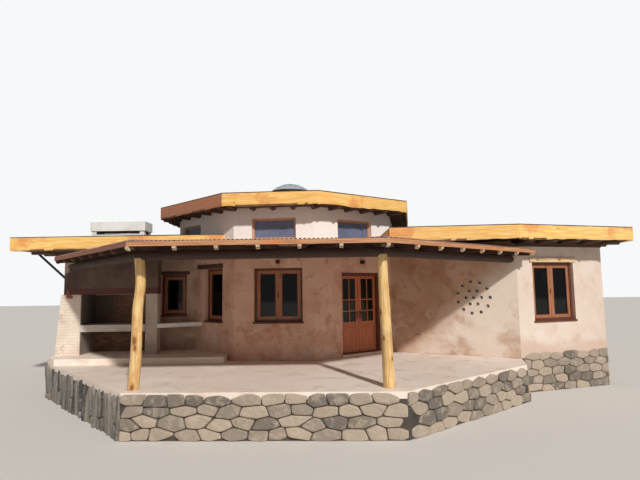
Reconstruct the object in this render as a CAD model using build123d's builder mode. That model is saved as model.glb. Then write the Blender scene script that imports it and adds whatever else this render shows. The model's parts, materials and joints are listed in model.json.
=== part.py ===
"""Adobe house: an eight-sided hall with two lower wings, a log porch and an outdoor grill.

Millimetres, +Z up, the porch facing -Y. Plan points are measured from the hall's upright axis and run
anticlockwise seen from above, so a wall's inner side is always on the left of its path. Each finished
piece is then moved so that the origin lies on the base plane under the middle of the whole plan.
"""

import math
import os

from build123d import *

os.makedirs("parts", exist_ok=True)

# Heights. The house stands on a slope: the footings reach the lowest ground, PLINTH_H below the porch.
PLINTH_H = 800
FLOOR_STEP = 50
FLOOR_T = 150
WING_WALL_H = 2840
HALL_WALL_H = 3780
PORCH_FLOOR = PLINTH_H
ROOM_FLOOR = PORCH_FLOOR + FLOOR_STEP
WING_TOP = PORCH_FLOOR + WING_WALL_H
HALL_TOP = PORCH_FLOOR + HALL_WALL_H

# Hall: an uneven octagon, its corners given by bearings from the front (-Y) towards +X.
HALL_R = 3400
HALL_BEARINGS = (-66, -21.5, 13, 57, 102, 150, 198, 246)
HALL_WALL_T = 320

# Wings
WING_WALL_T = 300
LEFT_WING_X = -5830
LEFT_WING_FRONT_Y = -2000
RIGHT_CORNER_1 = (5690, -3470)
RIGHT_CORNER_2 = (8220, -2640)
RIGHT_BACK_X = 8100

# Hall roof
HALL_EAVE_R = 3950
HALL_FASCIA_H = 290
HALL_FASCIA_T = 40
HALL_DECK_EDGE_H = 240
HALL_ROOF_RISE = 520
HALL_ROOF_T = 170
CURB_SEAT_R = 750
SKYLIGHT_R = 600
CURB_T = 60
CURB_H = 240
DOME_RISE = 270
DOME_T = 12
DOME_LIP = 20

# Wing roofs
WING_FASCIA_H = 300
WING_FASCIA_T = 40
WING_DECK_T = 220
LEFT_ROOF_OVERHANG = 1190
LEFT_ROOF_FRONT_Y = -2930
LEFT_ROOF_INNER_FRONT = (-2340, -3000)
LEFT_ROOF_INNER_X = -1300
RIGHT_ROOF_FRONT = ((2560, -3920), (5520, -4200), (8760, -3200))
RIGHT_ROOF_BACK_X = 8900
RIGHT_ROOF_INNER_X = 1650
WING_ROOF_BACK_Y = 3600

# Porch floor and its stone edge wall
PATIO_LEFT_Y = -3100
PATIO_FRONT = ((-2550, -6750), (2350, -6950), (5460, -4340))
PATIO_SLAB_T = 120
PATIO_WALL_T = 300

# Porch roof: three facets of corrugated sheet over rafters, a log beam and two log posts
EAVE_LEFT = (310, -3500)
EAVE_FRONT = ((-2350, -7150), (2080, -7150), (6000, -3800))
EAVE_DROP = 240
PORCH_PITCH = 3.5
SHEET_PITCH = 76
SHEET_DEPTH = 18
SHEET_T = 3
SHEET_OVERHANG = 35
HIP_GAP = 10
RAFTER_W = 60
RAFTER_DEPTH = 140
RAFTER_SPACING = 720
EAVE_BOARD_H = 78
EAVE_BOARD_T = 25
BEAM_R = 90
BEAM_DROP = 215
BEAM_LEFT = 380
BEAM_RIGHT_X = 5560
LEFT_POST = (-2450, -6450)
RIGHT_POST = (2100, -6600)
POST_FOOT_R = 125
POST_HEAD_R = 92
LEFT_POST_BENDS = ((0, 0), (25, 10), (50, -20), (45, 15), (95, 0), (60, 0))
RIGHT_POST_BENDS = ((0, 0), (-15, 15), (-30, -15), (-45, 10), (-60, 0), (-70, 0))

# Front door, measured along the hall's door facet from its left corner
DOOR_X = 846
DOOR_W = 1334
DOOR_H = 2090
DOOR_REVEAL = 100
DOOR_STOP_T = 60
JAMB_W = 60
STOP_LAP = 15
THRESHOLD_H = 20
LEAF_T = 45
LEAF_SIDE_GAP = 5
LEAF_STOP_GAP = 5
LEAF_MEETING_GAP = 12
LEAF_TOP_GAP = 6
LEAF_STILE = 90
LEAF_TOP_RAIL = 95
LEAF_MID_RAIL = 110
LEAF_BOTTOM_RAIL = 143
LEAF_GLASS_H = 1120
LEAF_BAR = 24
LEAF_PANEL_T = 22
LEAF_GLASS_T = 6
HINGE_R = 8
HINGE_L = 45
HINGE_GAP = 0.3
HINGE_PLATE_W = 34
HINGE_PLATE_T = 4
HINGE_HEIGHTS = (220, 1000, 1760)

# Windows: frames set back in the wall, with opening sashes in the lower ones
CENTRE_WINDOW_X = 1117
WINDOW_W = 1210
WINDOW_SILL = 930
WINDOW_HEAD = 2260
TALL_WINDOW_FROM_CORNER = 862
TALL_WINDOW_W = 780
TALL_WINDOW_HEAD = 2290
SMALL_WINDOW_X = -3070
SMALL_WINDOW_W = 690
SMALL_WINDOW_SILL = 1070
SMALL_WINDOW_HEAD = 2170
RIGHT_WINDOW_X = 1095
RIGHT_WINDOW_W = 1270
RIGHT_WINDOW_SILL = 870
RIGHT_WINDOW_HEAD = 2310
RIGHT_SIDE_WINDOW_X = 2800
RIGHT_BACK_WINDOW_X = 3000
LEFT_BACK_WINDOW_X = 3700
LEFT_SIDE_WINDOW_X = 2400
WINDOW_REVEAL = 90
FRAME_W = 55
FRAME_DEPTH = 90
SASH_W = 85
SASH_DEPTH = 45
GLASS_T = 8
CLERESTORY_FRAME_W = 50
CLERESTORY_SILL = 2980
SILL_OVER_WING = 270
CLERESTORY_HEAD = 3520

# The hall's high windows, side by side: middle along the side, width, and whether a wing roof lies below
HIGH_WINDOWS = (
    (590, 970, True), (1015, 1110, False), (1320, 1140, False), (1300, 1600, True),
    (1380, 1600, True), (1380, 1110, False), (1380, 1600, True), (1380, 1600, True),
)
LINTEL_H = 110
LINTEL_PROUD = 30
LINTEL_BEARING = 80

# Doorways inside, from the hall to each wing
INNER_DOOR_W = 1000
INNER_DOOR_H = 2100

# Bottles laid through the diagonal wall in two rings and a centre
BOTTLE_R = 42
BOTTLE_GAP = 0.3
BOTTLE_CENTRE_X = 2215
BOTTLE_CENTRE_H = 1460
OUTER_RING_R = 400
INNER_RING_R = 190
OUTER_RING_COUNT = 11
INNER_RING_COUNT = 6

# Outdoor grill against the left wing. Distances to the right are from the wing's end wall.
GRILL_FRONT_Y = -2800
LEDGE_H = 150
LEDGE_FRONT_Y = -3500
LEDGE_RIGHT_X = -1420
PIER_FOOT = 0
PIER_SHOULDER = 110
PIER_INNER = 640
RIGHT_PIER = (-3550, -3250)
RIGHT_PIER_DEPTH = 250
SIDE_WALL_T = 120
COUNTER_TOP_H = 900
COUNTER_T = 170
COUNTER_LIP = 40
GRILL_LINTEL_BOTTOM_H = 1670
GRILL_LINTEL_H = 160
GRILL_LINTEL_T = 200
GRILL_LINTEL_LEFT = 410
HOOD_LEFT = 180
HOOD_T = 120
HOOD_CEILING_DROP = 220

# Chimney: a wide stack through the roof, with a slab held over its mouth on four stubs
CHIMNEY_LEFT = 760
CHIMNEY_W = 1380
CHIMNEY_Y = (-2620, -2120)
STACK_RISE = 390
STUB_H = 90
CAP_H = 240
CAP_OVERHANG = 30
SIDE_SLAB_T = 100
SIDE_SLAB_END = (-2250, -2200)

# Small pieces
STRUT_R = 30
STRUT_FOOT = (-2600, 2030)
STRUT_HEAD = (-1120, -1800)
LAMP_R = 50
LAMP_DEPTH = 90
LAMP_H = 2410


def unit(a, b):
    """Direction from a to b in plan, as a unit vector."""
    length = math.dist(a, b)
    return ((b[0] - a[0]) / length, (b[1] - a[1]) / length)


def toward(a, b, along, inward=0):
    """Plan point at a distance along the line a to b, and a distance to its left."""
    ux, uy = unit(a, b)
    return (a[0] + ux * along - uy * inward, a[1] + uy * along + ux * inward)


def crossing(a, b, c, d):
    """Plan point where the lines a-b and c-d meet."""
    ux, uy = unit(a, b)
    vx, vy = unit(c, d)
    t = ((c[0] - a[0]) * vy - (c[1] - a[1]) * vx) / (ux * vy - uy * vx)
    return (a[0] + ux * t, a[1] + uy * t)


def offset_path(path, distance, closed=False):
    """The path moved to its left by a distance, its corners mitred."""
    count = len(path)
    sides = count if closed else count - 1
    moved = []
    for i in range(sides):
        a, b = path[i], path[(i + 1) % count]
        moved.append((toward(a, b, 0, distance), toward(a, b, math.dist(a, b), distance)))
    corners = []
    for i in range(count):
        if not closed and i == 0:
            corners.append(moved[0][0])
        elif not closed and i == count - 1:
            corners.append(moved[-1][1])
        else:
            corners.append(crossing(*moved[i - 1], *moved[i % sides]))
    return corners


def box_outline(x, y):
    """Plan rectangle from two X and two Y values."""
    return [(x[0], y[0]), (x[1], y[0]), (x[1], y[1]), (x[0], y[1])]


def strip(path, width):
    """Plan outline of a band along a path, on its left side."""
    return list(path) + offset_path(path, width)[::-1]


def face_plane(a, b):
    """Plane of a wall's outer face: X along the wall from a, Y up from the base, Z outwards."""
    ux, uy = unit(a, b)
    return Plane(origin=(a[0], a[1], 0), x_dir=(ux, uy, 0), z_dir=(uy, -ux, 0))


def hall_ring(radius):
    """Hall-shaped octagon whose corners lie at a radius."""
    points = []
    for bearing in HALL_BEARINGS:
        angle = math.radians(bearing)
        points.append((radius * math.sin(angle), -radius * math.cos(angle)))
    return points


def prism(outline, bottom, top):
    """Upright solid over a plan outline."""
    with BuildPart() as block:
        with BuildSketch(Plane.XY.offset(bottom)):
            Polygon(*outline, align=None)
        extrude(amount=top - bottom)
    return block.part


def save(part, label):
    """Move a finished piece to the house's own origin, label it and write its file."""
    placed = part.moved(Location((-middle_x, -middle_y, 0)))
    placed.label = label
    export_step(placed, f"parts/{label}.step")


# Middle of the whole plan: between the wing roofs' ends, and between the porch eave and the hall eave
roof_left_x = LEFT_WING_X - LEFT_ROOF_OVERHANG
eave = ((LEFT_WING_X + EAVE_LEFT[0], EAVE_LEFT[1]),) + EAVE_FRONT
front_y = eave[1][1] - SHEET_OVERHANG + HIP_GAP / 2
back_y = max(y for x, y in hall_ring(HALL_EAVE_R))
middle_x = (roof_left_x + RIGHT_ROOF_BACK_X) / 2
middle_y = (front_y + back_y) / 2

# Plan lines that several pieces share
hall = hall_ring(HALL_R)
hall_inner = offset_path(hall, HALL_WALL_T, closed=True)
wing_back_y = hall[5][1]
right_path = [
    toward(hall[3], RIGHT_CORNER_1, -HALL_WALL_T),
    RIGHT_CORNER_1,
    RIGHT_CORNER_2,
    (RIGHT_BACK_X, wing_back_y),
    (0, wing_back_y),
]
left_path = [
    (0, wing_back_y),
    (LEFT_WING_X, wing_back_y),
    (LEFT_WING_X, LEFT_WING_FRONT_Y),
    (hall[1][0], LEFT_WING_FRONT_Y),
]
right_inner = offset_path(right_path, WING_WALL_T)
left_inner = offset_path(left_path, WING_WALL_T)
roof_top = HALL_TOP + HALL_DECK_EDGE_H + HALL_ROOF_RISE
hall_block = prism(hall, 0, HALL_TOP + HALL_FASCIA_H)
right_block = prism(right_path + [(0, 0)], 0, WING_TOP)
left_block = prism(left_path + [(0, 0)], 0, WING_TOP)

door_start, door_end = hall[2], hall[3]
door_plane = face_plane(door_start, door_end)
bottle_plane = face_plane(hall[3], RIGHT_CORNER_1)
right_plane = face_plane(RIGHT_CORNER_1, RIGHT_CORNER_2)
grill_plane = Plane(origin=(0, GRILL_FRONT_Y, 0), x_dir=(1, 0, 0), z_dir=(0, -1, 0))
grill_depth = LEFT_WING_FRONT_Y - GRILL_FRONT_Y


def window(plane, x, width, sill, head, lights=1):
    """A window opening: its wall plane, middle along the wall, width, and heights above the porch."""
    return dict(plane=plane, x=x, width=width, z=PORCH_FLOOR + (sill + head) / 2,
                height=head - sill, lights=lights)


centre_window = window(face_plane(hall[1], hall[2]), CENTRE_WINDOW_X, WINDOW_W, WINDOW_SILL, WINDOW_HEAD, lights=2)
tall_window = window(face_plane(hall[0], hall[1]), math.dist(hall[0], hall[1]) - TALL_WINDOW_FROM_CORNER,
                     TALL_WINDOW_W, WINDOW_SILL, TALL_WINDOW_HEAD)
back_window = window(face_plane(hall[5], hall[6]), math.dist(hall[5], hall[6]) / 2, WINDOW_W, WINDOW_SILL,
                     WINDOW_HEAD, lights=2)
small_window = window(face_plane((0, LEFT_WING_FRONT_Y), (1, LEFT_WING_FRONT_Y)), SMALL_WINDOW_X, SMALL_WINDOW_W,
                      SMALL_WINDOW_SILL, SMALL_WINDOW_HEAD)
right_window = window(right_plane, RIGHT_WINDOW_X, RIGHT_WINDOW_W, RIGHT_WINDOW_SILL, RIGHT_WINDOW_HEAD, lights=2)
right_side_window = window(face_plane(RIGHT_CORNER_2, right_path[3]), RIGHT_SIDE_WINDOW_X, RIGHT_WINDOW_W,
                           RIGHT_WINDOW_SILL, RIGHT_WINDOW_HEAD, lights=2)
right_back_window = window(face_plane(right_path[3], hall[5]), RIGHT_BACK_WINDOW_X, RIGHT_WINDOW_W,
                           RIGHT_WINDOW_SILL, RIGHT_WINDOW_HEAD, lights=2)
left_back_window = window(face_plane(left_path[0], left_path[1]), LEFT_BACK_WINDOW_X, WINDOW_W, WINDOW_SILL,
                          WINDOW_HEAD, lights=2)
left_side_window = window(face_plane(left_path[1], left_path[2]), LEFT_SIDE_WINDOW_X, SMALL_WINDOW_W,
                          SMALL_WINDOW_SILL, SMALL_WINDOW_HEAD)
ground_windows = [
    centre_window, tall_window, back_window, small_window, right_window,
    right_side_window, right_back_window, left_back_window, left_side_window,
]


def clerestory(side, x, width, over_roof):
    """A high window in one side of the hall, its sill clear of the wing roof where there is one."""
    sill = WING_WALL_H + SILL_OVER_WING if over_roof else CLERESTORY_SILL
    plane = face_plane(hall[side], hall[(side + 1) % 8])
    return window(plane, x, width, sill, CLERESTORY_HEAD)


high_windows = [
    clerestory(side, x, width, over_roof)
    for side, (x, width, over_roof) in enumerate(HIGH_WINDOWS)
]


def cut_openings(openings, depth):
    """Cut window openings right through the wall being built."""
    for opening in openings:
        with BuildSketch(opening["plane"]) as hole:
            with Locations((opening["x"], opening["z"])):
                Rectangle(opening["width"], opening["height"])
        extrude(hole.sketch, amount=depth, both=True, mode=Mode.SUBTRACT)


def wall(label, outline, openings=(), bottom=0, top=HALL_TOP, against=None, doorway=None):
    """An adobe wall over a plan outline, cut back to the wall it meets and pierced by its openings."""
    with BuildPart() as piece:
        with BuildSketch(Plane.XY.offset(bottom)):
            Polygon(*outline, align=None)
        extrude(amount=top - bottom)
        if against is not None:
            add(against, mode=Mode.SUBTRACT)
        cut_openings(openings, 2 * HALL_WALL_T)
        if doorway is not None:
            with BuildSketch(doorway["plane"]):
                with Locations((doorway["x"], ROOM_FLOOR + INNER_DOOR_H / 2)):
                    Rectangle(INNER_DOOR_W, INNER_DOOR_H)
            extrude(amount=2 * HALL_WALL_T, both=True, mode=Mode.SUBTRACT)
    save(piece.part, label)


def side_outline(side):
    """Plan outline of one side of the hall, mitred at both corners."""
    following = (side + 1) % 8
    return [hall[side], hall[following], hall_inner[following], hall_inner[side]]


# Hall walls
hall_names = {
    0: "hall_wall_front_left", 1: "hall_wall_front", 3: "hall_wall_right", 4: "hall_wall_back_right",
    5: "hall_wall_back", 6: "hall_wall_back_left", 7: "hall_wall_left",
}
ground_by_side = {0: [tall_window], 1: [centre_window], 5: [back_window]}
inner_doors = {
    3: dict(plane=high_windows[3]["plane"], x=high_windows[3]["x"]),
    7: dict(plane=high_windows[7]["plane"], x=high_windows[7]["x"]),
}
for side, name in hall_names.items():
    openings = ground_by_side.get(side, []) + [high_windows[side]]
    wall(name, side_outline(side), openings, doorway=inner_doors.get(side))

door_head = ROOM_FLOOR + DOOR_H
door_far = DOOR_X + DOOR_W


def door_edge(along):
    """The doorway's edge in plan, from the outer to the inner face of the wall."""
    return [toward(door_start, door_end, along), toward(door_start, door_end, along, HALL_WALL_T)]


near_edge, far_edge = door_edge(DOOR_X), door_edge(door_far)
wall("door_wall_left", [hall[2]] + near_edge + [hall_inner[2]], top=door_head)
wall("door_wall_right", [far_edge[0], hall[3], hall_inner[3], far_edge[1]], top=door_head)
wall("door_wall_top", side_outline(2), [high_windows[2]], bottom=door_head)
wall("door_step", near_edge[:1] + far_edge + near_edge[1:], top=ROOM_FLOOR)

# Wing walls. Each is mitred to the next and cut back where it meets the hall.


def wing_outline(path, inner, i):
    """Plan outline of one wall of a wing."""
    return [path[i], path[i + 1], inner[i + 1], inner[i]]


wall("right_front_wall", wing_outline(right_path, right_inner, 1), [right_window], top=WING_TOP)
wall("right_side_wall", wing_outline(right_path, right_inner, 2), [right_side_window], top=WING_TOP)
wall("right_back_wall", wing_outline(right_path, right_inner, 3), [right_back_window], top=WING_TOP,
     against=hall_block)
wall("left_back_wall", wing_outline(left_path, left_inner, 0), [left_back_window], top=WING_TOP,
     against=hall_block)
wall("left_side_wall", wing_outline(left_path, left_inner, 1), [left_side_window], top=WING_TOP)
wall("left_front_wall", wing_outline(left_path, left_inner, 2), [small_window], top=WING_TOP,
     against=hall_block)

# The bottle wall: wine bottles laid through it in two rings round a centre one
with BuildPart() as bottle_wall:
    with BuildSketch():
        Polygon(*wing_outline(right_path, right_inner, 0), align=None)
    extrude(amount=WING_TOP)
    add(hall_block, mode=Mode.SUBTRACT)
    with BuildSketch(bottle_plane) as bottle_holes:
        with Locations((BOTTLE_CENTRE_X, PORCH_FLOOR + BOTTLE_CENTRE_H)):
            Circle(BOTTLE_R)
            with PolarLocations(INNER_RING_R, INNER_RING_COUNT):
                Circle(BOTTLE_R)
            with PolarLocations(OUTER_RING_R, OUTER_RING_COUNT):
                Circle(BOTTLE_R)
    extrude(amount=2 * WING_WALL_T, both=True, mode=Mode.SUBTRACT)
save(bottle_wall.part, "bottle_wall")

with BuildPart() as wall_bottles:
    with BuildSketch(bottle_plane):
        with Locations((BOTTLE_CENTRE_X, PORCH_FLOOR + BOTTLE_CENTRE_H)):
            Circle(BOTTLE_R - BOTTLE_GAP)
            with PolarLocations(INNER_RING_R, INNER_RING_COUNT):
                Circle(BOTTLE_R - BOTTLE_GAP)
            with PolarLocations(OUTER_RING_R, OUTER_RING_COUNT):
                Circle(BOTTLE_R - BOTTLE_GAP)
    extrude(amount=-WING_WALL_T)
save(wall_bottles.part, "wall_bottles")

# Floors of the three rooms
with BuildPart() as floors:
    add(prism(right_inner, ROOM_FLOOR - FLOOR_T, ROOM_FLOOR))
    add(prism(left_inner, ROOM_FLOOR - FLOOR_T, ROOM_FLOOR))
    add(hall_block, mode=Mode.SUBTRACT)
    add(prism(hall_inner, ROOM_FLOOR - FLOOR_T, ROOM_FLOOR))
save(floors.part, "floors")

# Porch floor on its stone edge wall
patio_edge = [(LEFT_WING_X, LEFT_WING_FRONT_Y), (LEFT_WING_X, PATIO_LEFT_Y)] + list(PATIO_FRONT) + [RIGHT_CORNER_1]
patio_end = toward(patio_edge[-2], RIGHT_CORNER_1,
                   math.dist(patio_edge[-2], RIGHT_CORNER_1) + PATIO_WALL_T)
patio_outline = patio_edge + [(0, 0)]
patio_underside = PORCH_FLOOR - PATIO_SLAB_T

with BuildPart() as patio_slab:
    add(prism(patio_outline, patio_underside, PORCH_FLOOR))
    add(hall_block, mode=Mode.SUBTRACT)
    add(right_block, mode=Mode.SUBTRACT)
    add(left_block, mode=Mode.SUBTRACT)
save(patio_slab.part, "patio_slab")

with BuildPart() as patio_wall:
    add(prism(strip(patio_edge[:-1] + [patio_end], PATIO_WALL_T), 0, patio_underside))
    add(right_block, mode=Mode.SUBTRACT)
save(patio_wall.part, "patio_wall")

# Hall roof: a shell that rises to a flat seat for the skylight
hall_eave = hall_ring(HALL_EAVE_R)
hall_deck = offset_path(hall_eave, HALL_FASCIA_T, closed=True)


def octagon_loft(low, low_z, high, high_z, mode=Mode.ADD):
    """Straight-sided solid between two octagons at two heights."""
    with BuildSketch(Plane.XY.offset(low_z)) as base:
        Polygon(*low, align=None)
    with BuildSketch(Plane.XY.offset(high_z)) as top:
        Polygon(*high, align=None)
    loft([base.sketch, top.sketch], ruled=True, mode=mode)


deck_edge_z = HALL_TOP + HALL_DECK_EDGE_H
with BuildPart() as hall_roof:
    add(prism(hall_deck, HALL_TOP, deck_edge_z))
    octagon_loft(hall_deck, deck_edge_z, hall_ring(CURB_SEAT_R), roof_top)
    octagon_loft(hall_inner, HALL_TOP, hall_ring(CURB_SEAT_R), roof_top - HALL_ROOF_T,
                 mode=Mode.SUBTRACT)
    with Locations((0, 0, roof_top)):
        Cylinder(SKYLIGHT_R, 2 * HALL_ROOF_T, mode=Mode.SUBTRACT)
save(hall_roof.part, "hall_roof")

with BuildPart() as hall_fascia:
    with BuildSketch(Plane.XY.offset(HALL_TOP)):
        Polygon(*hall_eave, align=None)
        Polygon(*hall_deck, align=None, mode=Mode.SUBTRACT)
    extrude(amount=HALL_FASCIA_H)
save(hall_fascia.part, "hall_fascia")

with BuildPart() as skylight_curb:
    with BuildSketch(Plane.XY.offset(roof_top)):
        Circle(SKYLIGHT_R + CURB_T)
        Circle(SKYLIGHT_R, mode=Mode.SUBTRACT)
    extrude(amount=CURB_H)
save(skylight_curb.part, "skylight_curb")

dome_r = SKYLIGHT_R + CURB_T - DOME_LIP
dome_sphere_r = (dome_r**2 + DOME_RISE**2) / (2 * DOME_RISE)
with BuildPart() as skylight_dome:
    with BuildSketch(Plane.XZ):
        with Locations((0, roof_top + CURB_H + DOME_RISE - dome_sphere_r)):
            Circle(dome_sphere_r)
            Circle(dome_sphere_r - DOME_T, mode=Mode.SUBTRACT)
        with Locations((0, roof_top + CURB_H)):
            Rectangle(dome_r + DOME_LIP, DOME_RISE, align=(Align.MIN, Align.MIN), mode=Mode.INTERSECT)
            Rectangle(dome_r, DOME_T, align=(Align.MIN, Align.MIN))
            Rectangle(dome_r - 2 * DOME_LIP, DOME_T, align=(Align.MIN, Align.MIN), mode=Mode.SUBTRACT)
    revolve(axis=Axis.Z)
save(skylight_dome.part, "skylight_dome")

# Wing roofs: flat decks with a deep board round their free edges
left_roof_outline = [
    (roof_left_x, LEFT_ROOF_FRONT_Y), LEFT_ROOF_INNER_FRONT, hall_inner[1], (LEFT_ROOF_INNER_X, 0),
    (LEFT_ROOF_INNER_X, WING_ROOF_BACK_Y), (roof_left_x, WING_ROOF_BACK_Y),
]
right_roof_outline = [
    RIGHT_ROOF_FRONT[0], RIGHT_ROOF_FRONT[1], RIGHT_ROOF_FRONT[2],
    (RIGHT_ROOF_BACK_X, WING_ROOF_BACK_Y), (RIGHT_ROOF_INNER_X, WING_ROOF_BACK_Y),
    (RIGHT_ROOF_INNER_X, 0), (RIGHT_ROOF_FRONT[0][0], 0),
]
stack_x = (LEFT_WING_X + CHIMNEY_LEFT, LEFT_WING_X + CHIMNEY_LEFT + CHIMNEY_W)
stack_top = WING_TOP + STACK_RISE
stack_block = prism(box_outline(stack_x, CHIMNEY_Y), WING_TOP, stack_top)


def roof_pieces(outline, side, hole=None):
    """One wing's deck and its fascia, both cut back where they meet the hall."""
    inside = offset_path(outline, WING_FASCIA_T, closed=True)
    with BuildPart() as deck:
        add(prism(inside, WING_TOP, WING_TOP + WING_DECK_T))
        add(hall_block, mode=Mode.SUBTRACT)
        if hole is not None:
            add(hole, mode=Mode.SUBTRACT)
    save(deck.part, f"{side}_roof")
    with BuildPart() as fascia:
        add(prism(outline, WING_TOP, WING_TOP + WING_FASCIA_H))
        add(prism(inside, WING_TOP, WING_TOP + WING_FASCIA_H), mode=Mode.SUBTRACT)
        add(hall_block, mode=Mode.SUBTRACT)
    save(fascia.part, f"{side}_fascia")


roof_pieces(left_roof_outline, "left", stack_block)
roof_pieces(right_roof_outline, "right")

# Porch roof. Every facet rises from its own eave at the same pitch, so they meet on hips.
slope = math.tan(math.radians(PORCH_PITCH))
eave_z = WING_TOP - EAVE_DROP


def facet_plane(a, b, drop):
    """Plane of a porch facet, a drop below the sheet's top: X along the eave, Y up the slope."""
    ux, uy = unit(a, b)
    return Plane(origin=(a[0], a[1], eave_z - drop), x_dir=(ux, uy, 0),
                 z_dir=(uy * slope, -ux * slope, 1))


def hip_end(corner):
    """Plan point far up the hip from an eave corner, inside the hall."""
    before, after = unit(eave[corner - 1], eave[corner]), unit(eave[corner], eave[corner + 1])
    bisector = (before[0] + after[0], before[1] + after[1])
    along = unit((0, 0), bisector)
    reach = HALL_WALL_T - HALL_R * math.cos(math.radians(HALL_BEARINGS[2])) - eave[corner][1]
    return toward(eave[corner], (eave[corner][0] + along[0], eave[corner][1] + along[1]), 0, reach)


wing_along, wing_up = unit(RIGHT_CORNER_1, RIGHT_CORNER_2)


def porch_regions(line):
    """Plan outlines of the three facets behind an eave line, running on into the house walls."""
    right_end = toward(line[3], (line[3][0] + wing_along, line[3][1] + wing_up), 0, 2 * WING_WALL_T)
    left = [line[0], line[1], left_hip, (hall[1][0], LEFT_WING_FRONT_Y), (RIGHT_PIER[1], LEFT_WING_FRONT_Y),
            (RIGHT_PIER[1], GRILL_FRONT_Y), (line[0][0], GRILL_FRONT_Y)]
    centre = [line[1], line[2], right_hip, left_hip]
    right = [line[2], line[3], right_end, (hall[3][0], hall[3][1] + HALL_WALL_T), right_hip]
    return [left, centre, right]


left_hip, right_hip = hip_end(1), hip_end(2)
sheet_regions = porch_regions(offset_path(eave, -SHEET_OVERHANG))
rafter_regions = porch_regions(eave)


def sheet_profile(length):
    """Section of corrugated sheet along an eave: flats high and low, joined by slopes."""
    top = []
    waves = math.ceil(length / SHEET_PITCH) + 2
    for i in range(waves):
        start = (i - 1) * SHEET_PITCH
        top += [(start, -SHEET_DEPTH), (start + SHEET_PITCH / 4, -SHEET_DEPTH),
                (start + SHEET_PITCH / 2, 0), (start + 3 * SHEET_PITCH / 4, 0)]
    bottom = [(x, y - SHEET_T) for x, y in reversed(top)]
    return top + bottom


def porch_sheet(i):
    """One facet of the corrugated sheet, trimmed to its hips and to the house."""
    a, b = eave[i], eave[i + 1]
    surface = facet_plane(a, b, 0)
    up_slope = surface.y_dir
    section = Plane(origin=surface.origin - up_slope * 2 * SHEET_OVERHANG, x_dir=surface.x_dir,
                    z_dir=-up_slope)
    region = offset_path(sheet_regions[i], HIP_GAP / 2, closed=True)
    with BuildPart() as facet:
        with BuildSketch(section):
            Polygon(*sheet_profile(math.dist(a, b)), align=None)
        extrude(amount=-math.dist(eave[1], (0, 0)))
        add(prism(region, PORCH_FLOOR, HALL_TOP), mode=Mode.INTERSECT)
        add(hall_block, mode=Mode.SUBTRACT)
        add(right_block, mode=Mode.SUBTRACT)
    return facet.part


with BuildPart() as porch_sheets:
    for i in range(3):
        add(porch_sheet(i))
save(porch_sheets.part, "porch_sheet")

# Rafters run up each facet from the eave, and a hip rafter follows each hip
sheet_drop = (SHEET_DEPTH + SHEET_T) / math.cos(math.radians(PORCH_PITCH))
rafter_drop = sheet_drop + RAFTER_DEPTH / math.cos(math.radians(PORCH_PITCH))
porch_outline = list(eave) + [(eave[3][0], 0), (eave[0][0], 0)]


def facet_slab(i, height):
    """Wide slab that stands on the plane of the rafters' undersides."""
    with BuildPart() as slab:
        with BuildSketch(facet_plane(eave[i], eave[i + 1], rafter_drop)):
            Rectangle(8 * HALL_R, 8 * HALL_R)
        extrude(amount=height)
    return slab.part


def facet_rafters(i):
    """The rafters of one facet, square to its eave, evenly spaced, the end ones set in from the corners."""
    a, b = eave[i], eave[i + 1]
    length = math.dist(a, b)
    count = round((length - 2 * RAFTER_W) / RAFTER_SPACING) + 1
    spacing = (length - 3 * RAFTER_W) / (count - 1)
    with BuildPart() as rafters:
        for k in range(count):
            start = 1.5 * RAFTER_W + k * spacing
            edge = (toward(a, b, start - RAFTER_W / 2), toward(a, b, start + RAFTER_W / 2))
            reach = [toward(a, b, start + RAFTER_W / 2, 2 * HALL_R), toward(a, b, start - RAFTER_W / 2, 2 * HALL_R)]
            add(prism(list(edge) + reach, PORCH_FLOOR, HALL_TOP))
        add(prism(rafter_regions[i], PORCH_FLOOR, HALL_TOP), mode=Mode.INTERSECT)
        add(facet_slab(i, RAFTER_DEPTH), mode=Mode.INTERSECT)
    return rafters.part


def hip_rafter(corner, end):
    """The rafter under one hip, its top planed to both facets."""
    outline = [toward(eave[corner], end, 0, -RAFTER_W / 2), toward(end, eave[corner], 0, RAFTER_W / 2),
               toward(end, eave[corner], 0, -RAFTER_W / 2), toward(eave[corner], end, 0, RAFTER_W / 2)]
    with BuildPart() as hip:
        add(prism(outline, PORCH_FLOOR, HALL_TOP))
        add(prism(porch_outline, PORCH_FLOOR, HALL_TOP), mode=Mode.INTERSECT)
        add(facet_slab(corner - 1, RAFTER_DEPTH), mode=Mode.INTERSECT)
        add(facet_slab(corner, RAFTER_DEPTH), mode=Mode.INTERSECT)
    return hip.part


with BuildPart() as porch_rafters:
    for i in range(3):
        add(facet_rafters(i))
    add(hip_rafter(1, left_hip))
    add(hip_rafter(2, right_hip))
    add(hall_block, mode=Mode.SUBTRACT)
    add(right_block, mode=Mode.SUBTRACT)
save(porch_rafters.part, "porch_rafters")

board_top = eave_z - sheet_drop - EAVE_BOARD_T * slope
with BuildPart() as porch_eave_board:
    with BuildSketch(Plane.XY.offset(board_top - EAVE_BOARD_H)):
        Polygon(*strip(eave, -EAVE_BOARD_T), align=None)
    extrude(amount=EAVE_BOARD_H)
save(porch_eave_board.part, "porch_eave_board")

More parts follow.
